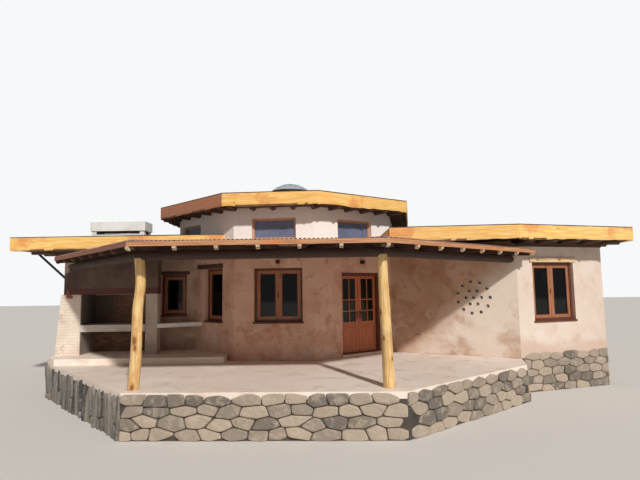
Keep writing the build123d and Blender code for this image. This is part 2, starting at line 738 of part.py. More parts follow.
# Log beam: three lengths that meet over the posts, planed on top where the rafters bear
beam_z = eave_z - BEAM_DROP
left_head = (LEFT_POST[0] + LEFT_POST_BENDS[-1][0], LEFT_POST[1] + LEFT_POST_BENDS[-1][1])
right_head = (RIGHT_POST[0] + RIGHT_POST_BENDS[-1][0], RIGHT_POST[1] + RIGHT_POST_BENDS[-1][1])
left_seat = (LEFT_WING_X + BEAM_LEFT, GRILL_FRONT_Y)
right_seat = crossing(hall[3], RIGHT_CORNER_1, (BEAM_RIGHT_X, 0), (BEAM_RIGHT_X, 1))
beam_points = [
    toward(left_seat, left_head, -2 * BEAM_R), left_head, right_head,
    toward(right_seat, right_head, -2 * BEAM_R),
]
hood_block = prism(box_outline((LEFT_WING_X, RIGHT_PIER[1]), (GRILL_FRONT_Y, LEFT_WING_FRONT_Y)), 0, WING_TOP)
with BuildPart() as log:
    with BuildLine() as beam_line:
        Polyline(*[(x, y, beam_z) for x, y in beam_points])
    with BuildSketch(Plane(origin=beam_line.line @ 0, z_dir=beam_line.line % 0)):
        Circle(BEAM_R)
    sweep(transition=Transition.RIGHT)
with BuildPart() as porch_beam:
    add(log.part)
    for i in range(3):
        add(facet_slab(i, 2 * RAFTER_DEPTH), mode=Mode.SUBTRACT)
    add(hood_block, mode=Mode.SUBTRACT)
    add(right_block, mode=Mode.SUBTRACT)
save(porch_beam.part, "porch_beam")


def post(foot, bends, label):
    """A crooked log post, coped at its head to the beam that it carries."""
    with BuildPart() as trunk:
        sections = []
        for k, (dx, dy) in enumerate(bends):
            part_way = k / (len(bends) - 1)
            with BuildSketch(Plane.XY.offset(PORCH_FLOOR + part_way * (beam_z - PORCH_FLOOR))) as ring:
                with Locations((foot[0] + dx, foot[1] + dy)):
                    Circle(POST_FOOT_R + part_way * (POST_HEAD_R - POST_FOOT_R))
            sections.append(ring.sketch)
        loft(sections)
        add(log.part, mode=Mode.SUBTRACT)
        above = box_outline((foot[0] - 4 * BEAM_R, foot[0] + 4 * BEAM_R), (foot[1] - 4 * BEAM_R, foot[1] + 4 * BEAM_R))
        add(prism(above, beam_z - BEAM_R / 4, WING_TOP), mode=Mode.SUBTRACT)
    save(trunk.part, label)


post(LEFT_POST, LEFT_POST_BENDS, "left_post")
post(RIGHT_POST, RIGHT_POST_BENDS, "right_post")

# Window frames, sashes and glass


def window_frame(opening, member, sash):
    """Frame of one window, with its sashes where it has them."""
    inner_w, inner_h = opening["width"] - 2 * member, opening["height"] - 2 * member
    place = (opening["x"], opening["z"])
    light_w = inner_w / opening["lights"]
    with BuildPart() as frame:
        with BuildSketch(opening["plane"].offset(-WINDOW_REVEAL)) as ring:
            with Locations(place):
                Rectangle(opening["width"], opening["height"])
                Rectangle(inner_w, inner_h, mode=Mode.SUBTRACT)
        extrude(ring.sketch, amount=-FRAME_DEPTH)
        if sash:
            set_back = WINDOW_REVEAL + (FRAME_DEPTH - SASH_DEPTH) / 2
            with BuildSketch(opening["plane"].offset(-set_back)) as sashes:
                with Locations(place):
                    Rectangle(inner_w, inner_h)
                    with GridLocations(light_w, 1, opening["lights"], 1):
                        Rectangle(light_w - 2 * sash, inner_h - 2 * sash, mode=Mode.SUBTRACT)
            extrude(sashes.sketch, amount=-SASH_DEPTH)
    return frame.part


def window_panes(opening, member, sash):
    """Glass of one window, a pane in each light."""
    inner_w, inner_h = opening["width"] - 2 * member, opening["height"] - 2 * member
    light_w = inner_w / opening["lights"]
    set_back = WINDOW_REVEAL + (FRAME_DEPTH - GLASS_T) / 2
    with BuildPart() as panes:
        with BuildSketch(opening["plane"].offset(-set_back)) as lights:
            with Locations((opening["x"], opening["z"])):
                with GridLocations(light_w, 1, opening["lights"], 1):
                    Rectangle(light_w - 2 * sash, inner_h - 2 * sash)
        extrude(lights.sketch, amount=-GLASS_T)
    return panes.part


def window_set(openings, member, sash, name):
    """Frames of a row of windows as one piece, and their glass as another."""
    with BuildPart() as frames:
        for opening in openings:
            add(window_frame(opening, member, sash))
    save(frames.part, f"{name}_frames")
    with BuildPart() as panes:
        for opening in openings:
            add(window_panes(opening, member, sash))
    save(panes.part, f"{name}_glass")


window_set(ground_windows, FRAME_W, SASH_W, "ground_window")
window_set(high_windows, CLERESTORY_FRAME_W, 0, "clerestory")

with BuildPart() as right_window_lintel:
    with BuildSketch(right_plane):
        with Locations((right_window["x"], right_window["z"] + (right_window["height"] + LINTEL_H) / 2)):
            Rectangle(right_window["width"] + 2 * LINTEL_BEARING, LINTEL_H)
    extrude(amount=LINTEL_PROUD)
save(right_window_lintel.part, "right_window_lintel")

# Front door: a rebated frame and two glazed leaves that open inwards on barrel hinges
door_middle = DOOR_X + DOOR_W / 2
leaf_bottom = ROOM_FLOOR + THRESHOLD_H + LEAF_TOP_GAP
leaf_h = DOOR_H - JAMB_W - THRESHOLD_H - 2 * LEAF_TOP_GAP
leaf_w = (DOOR_W - 2 * JAMB_W - 2 * LEAF_SIDE_GAP - LEAF_MEETING_GAP) / 2
leaf_outer_face = DOOR_REVEAL + DOOR_STOP_T + LEAF_STOP_GAP
leaf_inner_face = leaf_outer_face + LEAF_T
hinge_offset = HINGE_R + 1
hinge_x = DOOR_W / 2 - JAMB_W - LEAF_SIDE_GAP / 2


def hinge(side, height, of_leaf):
    """One half of a hinge on the door plane: a barrel and the plate that holds it, on the room side."""
    x = door_middle + side * hinge_x
    z = leaf_bottom + height + (HINGE_L + HINGE_GAP if of_leaf else 0)
    centre = toward(door_start, door_end, x, leaf_inner_face + hinge_offset)
    plate_x = x - side * HINGE_PLATE_W / 2 if of_leaf else x + side * HINGE_PLATE_W / 2
    with BuildPart() as half:
        with BuildSketch(Plane.XY.offset(z)) as barrel:
            with Locations(centre):
                Circle(HINGE_R)
        extrude(barrel.sketch, amount=HINGE_L)
        with BuildSketch(door_plane.offset(-leaf_inner_face)) as plate:
            with Locations((plate_x, z + HINGE_L / 2)):
                Rectangle(HINGE_PLATE_W, HINGE_L)
        extrude(plate.sketch, amount=-HINGE_PLATE_T)
    return half.part


with BuildPart() as door_frame:
    with BuildSketch(door_plane.offset(-DOOR_REVEAL)) as stop_ring:
        with Locations((door_middle, ROOM_FLOOR)):
            Rectangle(DOOR_W, DOOR_H, align=(Align.CENTER, Align.MIN))
        with Locations((door_middle, ROOM_FLOOR + THRESHOLD_H)):
            Rectangle(DOOR_W - 2 * (JAMB_W + STOP_LAP), DOOR_H - JAMB_W - STOP_LAP - THRESHOLD_H,
                      align=(Align.CENTER, Align.MIN), mode=Mode.SUBTRACT)
    extrude(stop_ring.sketch, amount=-DOOR_STOP_T)
    with BuildSketch(door_plane.offset(-(DOOR_REVEAL + DOOR_STOP_T))) as jamb_ring:
        with Locations((door_middle, ROOM_FLOOR)):
            Rectangle(DOOR_W, DOOR_H, align=(Align.CENTER, Align.MIN))
        with Locations((door_middle, ROOM_FLOOR + THRESHOLD_H)):
            Rectangle(DOOR_W - 2 * JAMB_W, DOOR_H - JAMB_W - THRESHOLD_H,
                      align=(Align.CENTER, Align.MIN), mode=Mode.SUBTRACT)
    extrude(jamb_ring.sketch, amount=-(LEAF_STOP_GAP + LEAF_T))
    for height in HINGE_HEIGHTS:
        add(hinge(-1, height, False))
        add(hinge(1, height, False))
save(door_frame.part, "door_frame")

pane_w = (leaf_w - 2 * LEAF_STILE - LEAF_BAR) / 2
pane_h = (LEAF_GLASS_H - 2 * LEAF_BAR) / 4
panel_h = leaf_h - LEAF_TOP_RAIL - LEAF_GLASS_H - LEAF_MID_RAIL - LEAF_BOTTOM_RAIL
glass_z = leaf_bottom + leaf_h - LEAF_TOP_RAIL - LEAF_GLASS_H
pane_rows = [
    (glass_z + pane_h / 2, pane_h),
    (glass_z + pane_h * 1.5 + LEAF_BAR, pane_h),
    (glass_z + pane_h * 3 + 2 * LEAF_BAR, 2 * pane_h),
]
panel_groove = (LEAF_T - LEAF_PANEL_T) / 2


def leaf(side, name):
    """One door leaf: two columns of three panes over a raised panel, and its glass."""
    middle = door_middle + side * (LEAF_MEETING_GAP + leaf_w) / 2
    with BuildPart() as body:
        with BuildSketch(door_plane.offset(-leaf_outer_face)) as face:
            with Locations((middle, leaf_bottom + leaf_h / 2)):
                Rectangle(leaf_w, leaf_h)
            for z, height in pane_rows:
                with Locations((middle, z)):
                    with GridLocations(pane_w + LEAF_BAR, 1, 2, 1):
                        Rectangle(pane_w, height, mode=Mode.SUBTRACT)
        extrude(face.sketch, amount=-LEAF_T)
        for depth in (leaf_outer_face, leaf_inner_face - panel_groove):
            with BuildSketch(door_plane.offset(-depth)) as groove:
                with Locations((middle, leaf_bottom + LEAF_BOTTOM_RAIL + panel_h / 2)):
                    Rectangle(leaf_w - 2 * LEAF_STILE, panel_h)
                    Rectangle(leaf_w - 3 * LEAF_STILE, panel_h - LEAF_STILE, mode=Mode.SUBTRACT)
            extrude(groove.sketch, amount=-panel_groove, mode=Mode.SUBTRACT)
        for height in HINGE_HEIGHTS:
            add(hinge(side, height, True))
    save(body.part, f"{name}_leaf")
    with BuildPart() as panes:
        with BuildSketch(door_plane.offset(-(leaf_outer_face + (LEAF_T - LEAF_GLASS_T) / 2))) as lights:
            for z, height in pane_rows:
                with Locations((middle, z)):
                    with GridLocations(pane_w + LEAF_BAR, 1, 2, 1):
                        Rectangle(pane_w, height)
        extrude(lights.sketch, amount=-LEAF_GLASS_T)
    save(panes.part, f"{name}_leaf_glass")


leaf(-1, "left_door")
leaf(1, "right_door")

# Outdoor grill: a raised ledge, two piers, a counter, a timber lintel, a hollow hood and a chimney
ledge_top = PORCH_FLOOR + LEDGE_H
lintel_bottom = PORCH_FLOOR + GRILL_LINTEL_BOTTOM_H
lintel_top = lintel_bottom + GRILL_LINTEL_H
side_wall_x = RIGHT_PIER[0] + SIDE_WALL_T
pier_inner_x = LEFT_WING_X + PIER_INNER
hood_left_x = LEFT_WING_X + HOOD_LEFT
pier_back_y = GRILL_FRONT_Y + RIGHT_PIER_DEPTH


with BuildPart() as grill_ledge:
    add(prism(patio_outline, PORCH_FLOOR, ledge_top))
    add(prism(box_outline((LEFT_WING_X, LEDGE_RIGHT_X), (LEDGE_FRONT_Y, LEFT_WING_FRONT_Y)),
              PORCH_FLOOR, ledge_top), mode=Mode.INTERSECT)
    add(hall_block, mode=Mode.SUBTRACT)
save(grill_ledge.part, "grill_ledge")

with BuildPart() as grill_left_pier:
    with BuildSketch(grill_plane):
        Polygon((LEFT_WING_X + PIER_FOOT, ledge_top), (pier_inner_x, ledge_top),
                (pier_inner_x, lintel_bottom), (LEFT_WING_X + PIER_SHOULDER, lintel_bottom), align=None)
    extrude(amount=-grill_depth)
save(grill_left_pier.part, "grill_left_pier")

right_pier_outline = [
    (RIGHT_PIER[0], GRILL_FRONT_Y), (RIGHT_PIER[1], GRILL_FRONT_Y), (RIGHT_PIER[1], pier_back_y),
    (side_wall_x, pier_back_y), (side_wall_x, LEFT_WING_FRONT_Y), (RIGHT_PIER[0], LEFT_WING_FRONT_Y),
]
save(prism(right_pier_outline, ledge_top, lintel_bottom), "grill_right_pier")

counter_z = PORCH_FLOOR + COUNTER_TOP_H
counter_outline = box_outline((pier_inner_x, RIGHT_PIER[0]), (GRILL_FRONT_Y - COUNTER_LIP, LEFT_WING_FRONT_Y))
save(prism(counter_outline, counter_z - COUNTER_T, counter_z), "grill_counter")

side_slab_outline = [
    (RIGHT_PIER[1], GRILL_FRONT_Y), SIDE_SLAB_END, (SIDE_SLAB_END[0], LEFT_WING_FRONT_Y),
    (side_wall_x, LEFT_WING_FRONT_Y), (side_wall_x, pier_back_y), (RIGHT_PIER[1], pier_back_y),
]
with BuildPart() as side_counter:
    add(prism(side_slab_outline, counter_z - SIDE_SLAB_T, counter_z))
    add(hall_block, mode=Mode.SUBTRACT)
save(side_counter.part, "side_counter")

lintel_block = prism(
    box_outline((LEFT_WING_X + GRILL_LINTEL_LEFT, RIGHT_PIER[1]), (GRILL_FRONT_Y, GRILL_FRONT_Y + GRILL_LINTEL_T)),
    lintel_bottom, lintel_top)
save(lintel_block, "grill_lintel")

flue_x = (stack_x[0] + HOOD_T, stack_x[1] - HOOD_T)
flue_y = (CHIMNEY_Y[0] + HOOD_T, CHIMNEY_Y[1] - HOOD_T)
flue_block = prism(box_outline(flue_x, flue_y), lintel_top, stack_top + STUB_H)
hood_outline = [(hood_left_x, GRILL_FRONT_Y)] + right_pier_outline[1:5] + [(hood_left_x, LEFT_WING_FRONT_Y)]
with BuildPart() as grill_hood:
    add(prism(hood_outline, lintel_bottom, WING_TOP))
    add(lintel_block, mode=Mode.SUBTRACT)
    add(prism(box_outline((pier_inner_x, RIGHT_PIER[0]), (GRILL_FRONT_Y + HOOD_T, LEFT_WING_FRONT_Y)),
              lintel_bottom, WING_TOP - HOOD_CEILING_DROP), mode=Mode.SUBTRACT)
    add(flue_block, mode=Mode.SUBTRACT)
save(grill_hood.part, "grill_hood")

cap_bottom = stack_top + STUB_H
with BuildPart() as chimney:
    add(stack_block)
    for x in (stack_x[0], stack_x[1] - HOOD_T):
        for y in (CHIMNEY_Y[0], CHIMNEY_Y[1] - HOOD_T):
            add(prism(box_outline((x, x + HOOD_T), (y, y + HOOD_T)), stack_top, cap_bottom))
    add(flue_block, mode=Mode.SUBTRACT)
save(chimney.part, "chimney")

cap_outline = box_outline((stack_x[0] - CAP_OVERHANG, stack_x[1] + CAP_OVERHANG),
                          (CHIMNEY_Y[0] - CAP_OVERHANG, CHIMNEY_Y[1] + CAP_OVERHANG))
save(prism(cap_outline, cap_bottom, cap_bottom + CAP_H), "chimney_cap")

# Raking strut from the hood's side to the roof corner
foot = Vector(hood_left_x, STRUT_FOOT[0], PORCH_FLOOR + STRUT_FOOT[1])
head = Vector(LEFT_WING_X + STRUT_HEAD[0], STRUT_HEAD[1], WING_TOP)
lean = (head - foot).normalized()
with BuildPart() as roof_strut:
    with BuildSketch(Plane(origin=foot - lean * 4 * STRUT_R, z_dir=lean)):
        Circle(STRUT_R)
    extrude(amount=(head - foot).length + 8 * STRUT_R)
    add(prism(box_outline((roof_left_x, hood_left_x), (LEFT_ROOF_FRONT_Y, 0)),
              PORCH_FLOOR, WING_TOP), mode=Mode.INTERSECT)
save(roof_strut.part, "roof_strut")

# Wall lamps over the centre window and over the door
with BuildPart() as wall_lamps:
    for plane, x in ((centre_window["plane"], centre_window["x"]), (door_plane, door_middle)):
        with BuildSketch(plane):
            with Locations((x, PORCH_FLOOR + LAMP_H)):
                Circle(LAMP_R)
        extrude(amount=LAMP_DEPTH)
save(wall_lamps.part, "wall_lamps")
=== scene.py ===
"""Looks of the adobe house: finishes, stones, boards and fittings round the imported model.

Metres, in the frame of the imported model: +Z up, the porch facing -Y. Plan points are written in
millimetres from the hall's upright axis, as the house was set out, and at() moves them into that frame.
"""

import json
import math
import random

import bpy
from mathutils import Matrix, Vector, noise


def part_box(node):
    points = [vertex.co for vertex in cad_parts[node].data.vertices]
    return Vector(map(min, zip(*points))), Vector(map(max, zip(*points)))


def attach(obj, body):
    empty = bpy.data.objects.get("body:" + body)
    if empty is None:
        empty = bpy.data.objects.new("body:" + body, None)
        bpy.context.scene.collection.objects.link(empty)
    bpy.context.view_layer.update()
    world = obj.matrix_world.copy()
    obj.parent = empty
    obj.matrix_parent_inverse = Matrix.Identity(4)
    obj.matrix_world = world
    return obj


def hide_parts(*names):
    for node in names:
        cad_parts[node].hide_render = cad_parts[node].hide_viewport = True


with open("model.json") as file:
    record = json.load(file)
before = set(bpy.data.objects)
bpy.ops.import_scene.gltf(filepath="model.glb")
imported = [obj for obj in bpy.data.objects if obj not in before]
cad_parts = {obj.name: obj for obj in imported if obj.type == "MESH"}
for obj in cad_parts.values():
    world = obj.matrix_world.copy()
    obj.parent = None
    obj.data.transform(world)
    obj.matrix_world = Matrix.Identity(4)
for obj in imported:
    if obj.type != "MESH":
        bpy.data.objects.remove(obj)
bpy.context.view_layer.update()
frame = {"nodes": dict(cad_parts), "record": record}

# Plan of the house, in millimetres from the hall's axis, each line with its outer side on the right
HALL = ((-3106, -1383), (-1246, -3163), (765, -3313), (2851, -1852),
        (3326, 707), (1700, 2944), (-1051, 3234), (-3106, 1383))
LEFT_WING = ((-1373, 2944), (-5830, 2944), (-5830, -2000), (-1246, -2000))
RIGHT_WING = ((5690, -3470), (8220, -2640), (8100, 2944), (1700, 2944))
PATIO = ((-5830, -2000), (-5830, -3100), (-2550, -6750), (2350, -6950), (5460, -4340), (5690, -3470))
EAVE = ((-5520, -3500), (-2350, -7150), (2080, -7150), (6000, -3800))
HALL_R, HALL_EAVE_R = 3400, 3949
HALL_EAVE = [(x * HALL_EAVE_R / HALL_R, y * HALL_EAVE_R / HALL_R) for x, y in HALL]
LEFT_ROOF = ((-1300, 3600), (-7020, 3600), (-7020, -2930), (-2340, -3000))
RIGHT_ROOF = ((2560, -3920), (5520, -4200), (8760, -3200), (8900, 3600), (1650, 3600))
PLAN_MIDDLE = (940, -1711.663)

# Heights in metres
PORCH_FLOOR = 0.80
WING_TOP = 3.64
HALL_TOP = 4.58
EAVE_Z = 3.40
PORCH_SLOPE = math.tan(math.radians(3.5))
PATIO_STONE_TOP = 0.775
FOOTING_TOP = 0.92


def at(point, z=0.0):
    """A plan point and a height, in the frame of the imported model."""
    return Vector(((point[0] - PLAN_MIDDLE[0]) / 1000, (point[1] - PLAN_MIDDLE[1]) / 1000, z))


def up(z):
    """A vector straight up."""
    return Vector((0, 0, z))


def rightward(run):
    """A vector's level part, turned a quarter to its right."""
    return Vector((run.y, -run.x, 0))


def pairs(points, closed=False):
    """Each point with the next, and the last with the first if the line is closed."""
    return zip(points, points[1:] + points[:1] if closed else points[1:])


# Camera, light and floor

SENSOR = 36
FOCAL_PIXELS = 490
PHOTO_W = 640
CAMERA_PLACE = (-0.020, -13.688, 2.55)
CAMERA_TILT, CAMERA_ROLL = math.radians(5.6), math.radians(-0.85)
SUN_HEADING = Vector((-0.315, 0.756, -0.574))

scene = bpy.context.scene
camera_data = bpy.data.cameras.new("camera")
camera_data.sensor_width = SENSOR
camera_data.lens = FOCAL_PIXELS / PHOTO_W * SENSOR
camera_data.clip_end = 200
camera = bpy.data.objects.new("camera", camera_data)
camera.matrix_world = (Matrix.Translation(CAMERA_PLACE)
                       @ Matrix.Rotation(math.radians(90) + CAMERA_TILT, 4, "X")
                       @ Matrix.Rotation(CAMERA_ROLL, 4, "Z"))
scene.collection.objects.link(camera)
scene.camera = camera
scene.view_settings.view_transform = "Standard"

sun_data = bpy.data.lights.new("key", "SUN")
sun_data.energy = 2.95
sun_data.angle = math.radians(3)
sun_data.color = (1.0, 0.98, 0.95)
sun = bpy.data.objects.new("key", sun_data)
sun.rotation_euler = SUN_HEADING.to_track_quat("-Z", "Y").to_euler()
scene.collection.objects.link(sun)

# Sky: one tone lights the house, and a paler one is seen behind it and through its panes
world = bpy.data.worlds.new("studio")
scene.world = world
world.use_nodes = True
world_nodes, world_links = world.node_tree.nodes, world.node_tree.links
background, backdrop = world_nodes["Background"], world_nodes.new("ShaderNodeBackground")
background.inputs["Color"].default_value = (1.0, 0.98, 0.96, 1)
background.inputs["Strength"].default_value = 0.25
backdrop.inputs["Color"].default_value = (0.93, 0.94, 0.95, 1)
light_path = world_nodes.new("ShaderNodeLightPath")
seen = world_nodes.new("ShaderNodeMath")
seen.operation = "MAXIMUM"
which = world_nodes.new("ShaderNodeMixShader")
world_links.new(light_path.outputs["Is Camera Ray"], seen.inputs[0])
world_links.new(light_path.outputs["Is Transmission Ray"], seen.inputs[1])
for socket, shader in enumerate((seen, background, backdrop)):
    world_links.new(shader.outputs[0], which.inputs[socket])
world_links.new(which.outputs[0], world_nodes["World Output"].inputs["Surface"])


# Materials

def linear_colour(rgb):
    """An sRGB colour written in 0 to 255, as the linear colour that a shader takes."""
    def linear(c):
        c /= 255
        return c / 12.92 if c <= 0.04045 else ((c + 0.055) / 1.055) ** 2.4
    return tuple(linear(c) for c in rgb) + (1,)


class Finish:
    """A procedural material: calls that return a node's output, and calls that add to its colour.

    A colour is given as sRGB, 0 to 255, or as the output of a node.
    """

    def __init__(self, name, roughness, base, **sockets):
        self.material = bpy.data.materials.new(name)
        self.material.use_nodes = True
        self.tree = self.material.node_tree
        self.shader = self.tree.nodes["Principled BSDF"]
        self.fill(self.shader, Roughness=roughness, **sockets)
        self.place = self.node("TexCoord").outputs["Object"]
        self.shade = base

    def put(self, target, value):
        """Link an output to a socket, or write a plain value or a colour into it."""
        if isinstance(value, bpy.types.NodeSocket):
            self.tree.links.new(value, target)
        elif target.type == "RGBA":
            target.default_value = linear_colour(value)
        else:
            target.default_value = value

    def fill(self, node, **sockets):
        """Put a value on each named socket, its name written with _ for a space."""
        for name, value in sockets.items():
            self.put(node.inputs[name.replace("_", " ")], value)

    def node(self, kind, **sockets):
        """A new node with its sockets filled."""
        node = self.tree.nodes.new("ShaderNode" + kind)
        self.fill(node, **sockets)
        return node

    def stretched(self, x, y, z):
        """Object coordinates scaled along each axis."""
        return self.node("Mapping", Vector=self.place, Scale=(x, y, z)).outputs[0]

    def noise(self, scale, detail=4, where=None, roughness=0.5, distortion=0.0):
        """Cloudy noise, 0 to 1."""
        return self.node("TexNoise", Vector=where or self.place, Scale=scale, Detail=detail,
                         Roughness=roughness, Distortion=distortion).outputs["Fac"]

    def spots(self, scale, where):
        """The distance to the nearest of many scattered points."""
        return self.node("TexVoronoi", Vector=where, Scale=scale).outputs["Distance"]

    def axis(self, name):
        """One coordinate of the place, "X", "Y" or "Z"; "Z" is the height above the base plane."""
        return self.node("SeparateXYZ", Vector=self.place).outputs[name]

    def tone(self):
        """The number from 0 to 1 that the mesh carries for each stone, board, brick or knot."""
        node = self.node("Attribute")
        node.attribute_name = "tone"
        return node.outputs["Fac"]

    def courses(self, length, height, joint):
        """1 in the joints of a running brick bond on upright faces, 0 on the bricks."""
        flat = self.node("CombineXYZ", X=self.math("ADD", self.axis("X"), self.axis("Y")), Y=self.axis("Z"))
        return self.node("TexBrick", Vector=flat.outputs[0], Scale=1.0, Brick_Width=length, Row_Height=height,
                         Mortar_Size=joint, Mortar_Smooth=0.4).outputs["Fac"]

    def facing_down(self):
        """1 on undersides, 0 elsewhere."""
        normal = self.node("NewGeometry").outputs["True Normal"]
        upward = self.node("SeparateXYZ", Vector=normal).outputs["Z"]
        return self.fade(self.times(upward, -1.0), 0.5, 0.6)

    def math(self, operation, a, b=0.0):
        """Plain arithmetic on outputs or numbers."""
        node = self.node("Math")
        node.operation = operation
        self.put(node.inputs[0], a)
        self.put(node.inputs[1], b)
        return node.outputs[0]

    def times(self, a, b):
        return self.math("MULTIPLY", a, b)

    def plus_some(self, value, extra, share):
        """A value with a share of another one added."""
        return self.math("ADD", value, self.times(extra, share))

    def fade(self, value, start, end):
        """0 at start, 1 at end, smooth between; start may be the higher one."""
        node = self.node("MapRange", Value=value, From_Min=start, From_Max=end)
        node.interpolation_type = "SMOOTHSTEP"
        return node.outputs["Result"]

    def lay(self, colour, share):
        """Lay a colour over the ones before."""
        node = self.node("Mix")
        node.data_type = "RGBA"
        for socket, value in ((0, share), (6, self.shade), (7, colour)):
            self.put(node.inputs[socket], value)
        self.shade = node.outputs[2]

    def coat(self, colour, value, start, end, share=1.0):
        """Lay a colour over the ones before as a value goes from start to end, at most by the share."""
        cover = self.fade(value, start, end)
        self.lay(colour, cover if share == 1.0 else self.times(cover, share))

    def done(self, *relief):
        """The material, with (height, depth in metres) layers of relief, coarse to fine."""
        normal = {}
        for height, depth in relief:
            bump = self.node("Bump", Height=height, Distance=depth, Strength=1.0, **normal)
            normal = {"Normal": bump.outputs[0]}
        self.fill(self.shader, Base_Color=self.shade, **normal)
        return self.material


LIME = (246, 240, 234)
MORTAR = (104, 92, 80)
# Heights in metres between which a wall changes
LIME_LINE = (3.72, 3.76)
MORTAR_LINE = (0.87, 0.83)
SPLASH_ZONE = (1.85, 1.50)
PALE_PATCH_ZONE = (2.3, 1.5)
PATCH_ZONE = (2.5, 1.8)


def clay(name, base, light, stain, stain_share, washed, lime_and_painted_light=LIME, painted_light_span=None):
    """Hand-laid earth plaster: relief, damp patches, pale scrapes, straw, lime wash high up.

    A wall may carry painted light: a paler colour towards its lower right, where the sun falls, between two
    places along a slanted line.
    """
    finish = Finish(name, 0.93, base)
    broad = finish.noise(0.55, 4, distortion=0.4)
    cloud = finish.noise(1.9, 6, distortion=0.3)
    damp = finish.noise(1.15, 9, roughness=0.6, distortion=0.25)
    smudge = finish.noise(3.4, 8, roughness=0.66, distortion=0.3)
    scrape = finish.noise(2.3, 8, finish.stretched(1, 1, 0.55), roughness=0.62)
    pale_patch = finish.noise(2.7, 9, finish.stretched(1, 1, 1.3), roughness=0.6, distortion=0.5)
    grain = finish.noise(55, 5, roughness=0.65)
    straw = finish.noise(9, 3, finish.stretched(14, 14, 1.6))
    height = finish.axis("Z")
    frayed = finish.plus_some(damp, finish.math("SUBTRACT", grain, 0.5), 0.10)
    finish.coat(light, broad, 0.32, 0.68)
    finish.coat(stain, cloud, 0.48, 0.70, 0.4 * stain_share)
    finish.coat(stain, frayed, 0.53, 0.60, 0.42 * stain_share)
    finish.coat(stain, smudge, 0.56, 0.64, 0.50 * stain_share)
    finish.coat(light, scrape, 0.56, 0.66, 0.50)
    # Paler patches, only low on the wall.
    low_down = finish.times(finish.fade(height, *PALE_PATCH_ZONE), 0.55 * stain_share)
    finish.coat((222, 206, 190), pale_patch, 0.55, 0.63, low_down)
    # Painted light: the paler colour over the sunlit lower right, kept off the brown patches low down.
    if painted_light_span:
        slant = finish.math("SUBTRACT", finish.axis("X"), finish.times(height, 0.8))
        painted_light = finish.times(finish.fade(finish.math("ADD", slant, broad), *painted_light_span), 0.85)
        patch = finish.fade(finish.noise(1.35, 9, roughness=0.62, distortion=0.3), 0.46, 0.64)
        kept = finish.times(finish.times(patch, finish.fade(height, *PATCH_ZONE)), 0.75)
        finish.lay(lime_and_painted_light, finish.times(painted_light, finish.math("SUBTRACT", 1.0, kept)))
    finish.coat(stain, finish.plus_some(height, damp, 1.1), *SPLASH_ZONE, washed)
    finish.coat(lime_and_painted_light, finish.plus_some(height, cloud, 0.12), *LIME_LINE, 0.9)
    finish.coat((130, 100, 74), grain, 0.5, 0.8, 0.14)
    finish.coat(light, straw, 0.66, 0.74, 0.22)
    finish.coat(MORTAR, finish.plus_some(height, cloud, 0.10), *MORTAR_LINE)
    return finish.done((cloud, 0.022), (scrape, 0.008), (grain, 0.003))


SOFFIT_BOARD_W = 0.14


def boarded_roof(name, base, light, dark, board):
    """Roof membrane above, dark stained boards on the undersides."""
    finish = Finish(name, 0.85, board)
    cloud = finish.noise(1.4, 6, distortion=0.5)
    grain = finish.noise(90, 4)
    streak = finish.noise(1.6, 6, finish.stretched(22, 1.4, 1.4))
    finish.coat(dark, streak, 0.4, 0.65, 0.6)
    across = finish.math("FRACT", finish.times(finish.axis("X"), 1 / SOFFIT_BOARD_W))
    finish.coat((18, 13, 10), across, 0.94, 0.97, 0.9)
    boards, finish.shade = finish.shade, base
    finish.coat(light, cloud, 0.35, 0.7)
    finish.coat(dark, grain, 0.5, 0.75, 0.4)
    finish.lay(boards, finish.facing_down())
    return finish.done((cloud, 0.006), (grain, 0.0015))


def edge_board(name, pale, mid, dark, painted_shade=None, painted_shade_from=0.0, painted_shade_to=0.0):
    """Rough-sawn edge board: a tone for each board, knots, an orange bloom, bark along its live edge.

    It may carry painted shade, a darker tone on the side turned from the sun, between two places along X.
    """
    finish = Finish(name, 0.6, pale)
    where = finish.stretched(1.1, 1.1, 24)
    grain = finish.noise(1.6, 6, where, distortion=0.6)
    fine = finish.noise(5.5, 4, where, roughness=0.6)
    bloom = finish.noise(1.1, 6, roughness=0.6)
    spots = finish.spots(1.6, finish.stretched(1, 1, 2.2))
    tone = finish.tone()
    finish.coat(mid, grain, 0.36, 0.64)
    finish.coat(mid, tone, 0.0, 0.7, 0.35)
    finish.coat(dark, fine, 0.55, 0.72, 0.4)
    finish.coat((216, 128, 66), bloom, 0.55, 0.66, 0.6)
    finish.coat(mid, spots, 0.20, 0.06, 0.6)
    finish.coat(dark, spots, 0.07, 0.025, 0.85)
    # Painted shade on the side turned from the sun.
    if painted_shade:
        finish.coat(painted_shade, finish.axis("X"), painted_shade_to, painted_shade_from, 0.85)
    finish.coat((84, 54, 34), tone, 0.80, 0.95)
    return finish.done((grain, 0.005), (fine, 0.0015))


GRAIN_SCALE = {"level": (1.2, 1.2, 26), "upright": (26, 26, 1.2)}
KNOT_SCALE = {"level": (1, 1, 2.2), "upright": (2.2, 2.2, 1)}


def timber(name, pale, mid, dark, along, knots=True, gloss=0.45):
    """Varnished timber: streaked grain along one axis, with dark knots ringed by lighter wood."""
    finish = Finish(name, gloss, pale)
    where = finish.stretched(*GRAIN_SCALE[along])
    streak = finish.noise(1.6, 6, where, distortion=0.5)
    fine = finish.noise(5.5, 4, where, roughness=0.6)
    finish.coat(mid, streak, 0.36, 0.64)
    finish.coat(dark, fine, 0.55, 0.72, 0.45)
    finish.coat(mid, finish.noise(0.9, 3), 0.45, 0.7, 0.35)
    if knots:
        spots = finish.spots(1.5, finish.stretched(*KNOT_SCALE[along]))
        finish.coat(mid, spots, 0.16, 0.05, 0.5)
        finish.coat(dark, spots, 0.055, 0.025, 0.9)
    return finish.done((streak, 0.004), (fine, 0.0015))


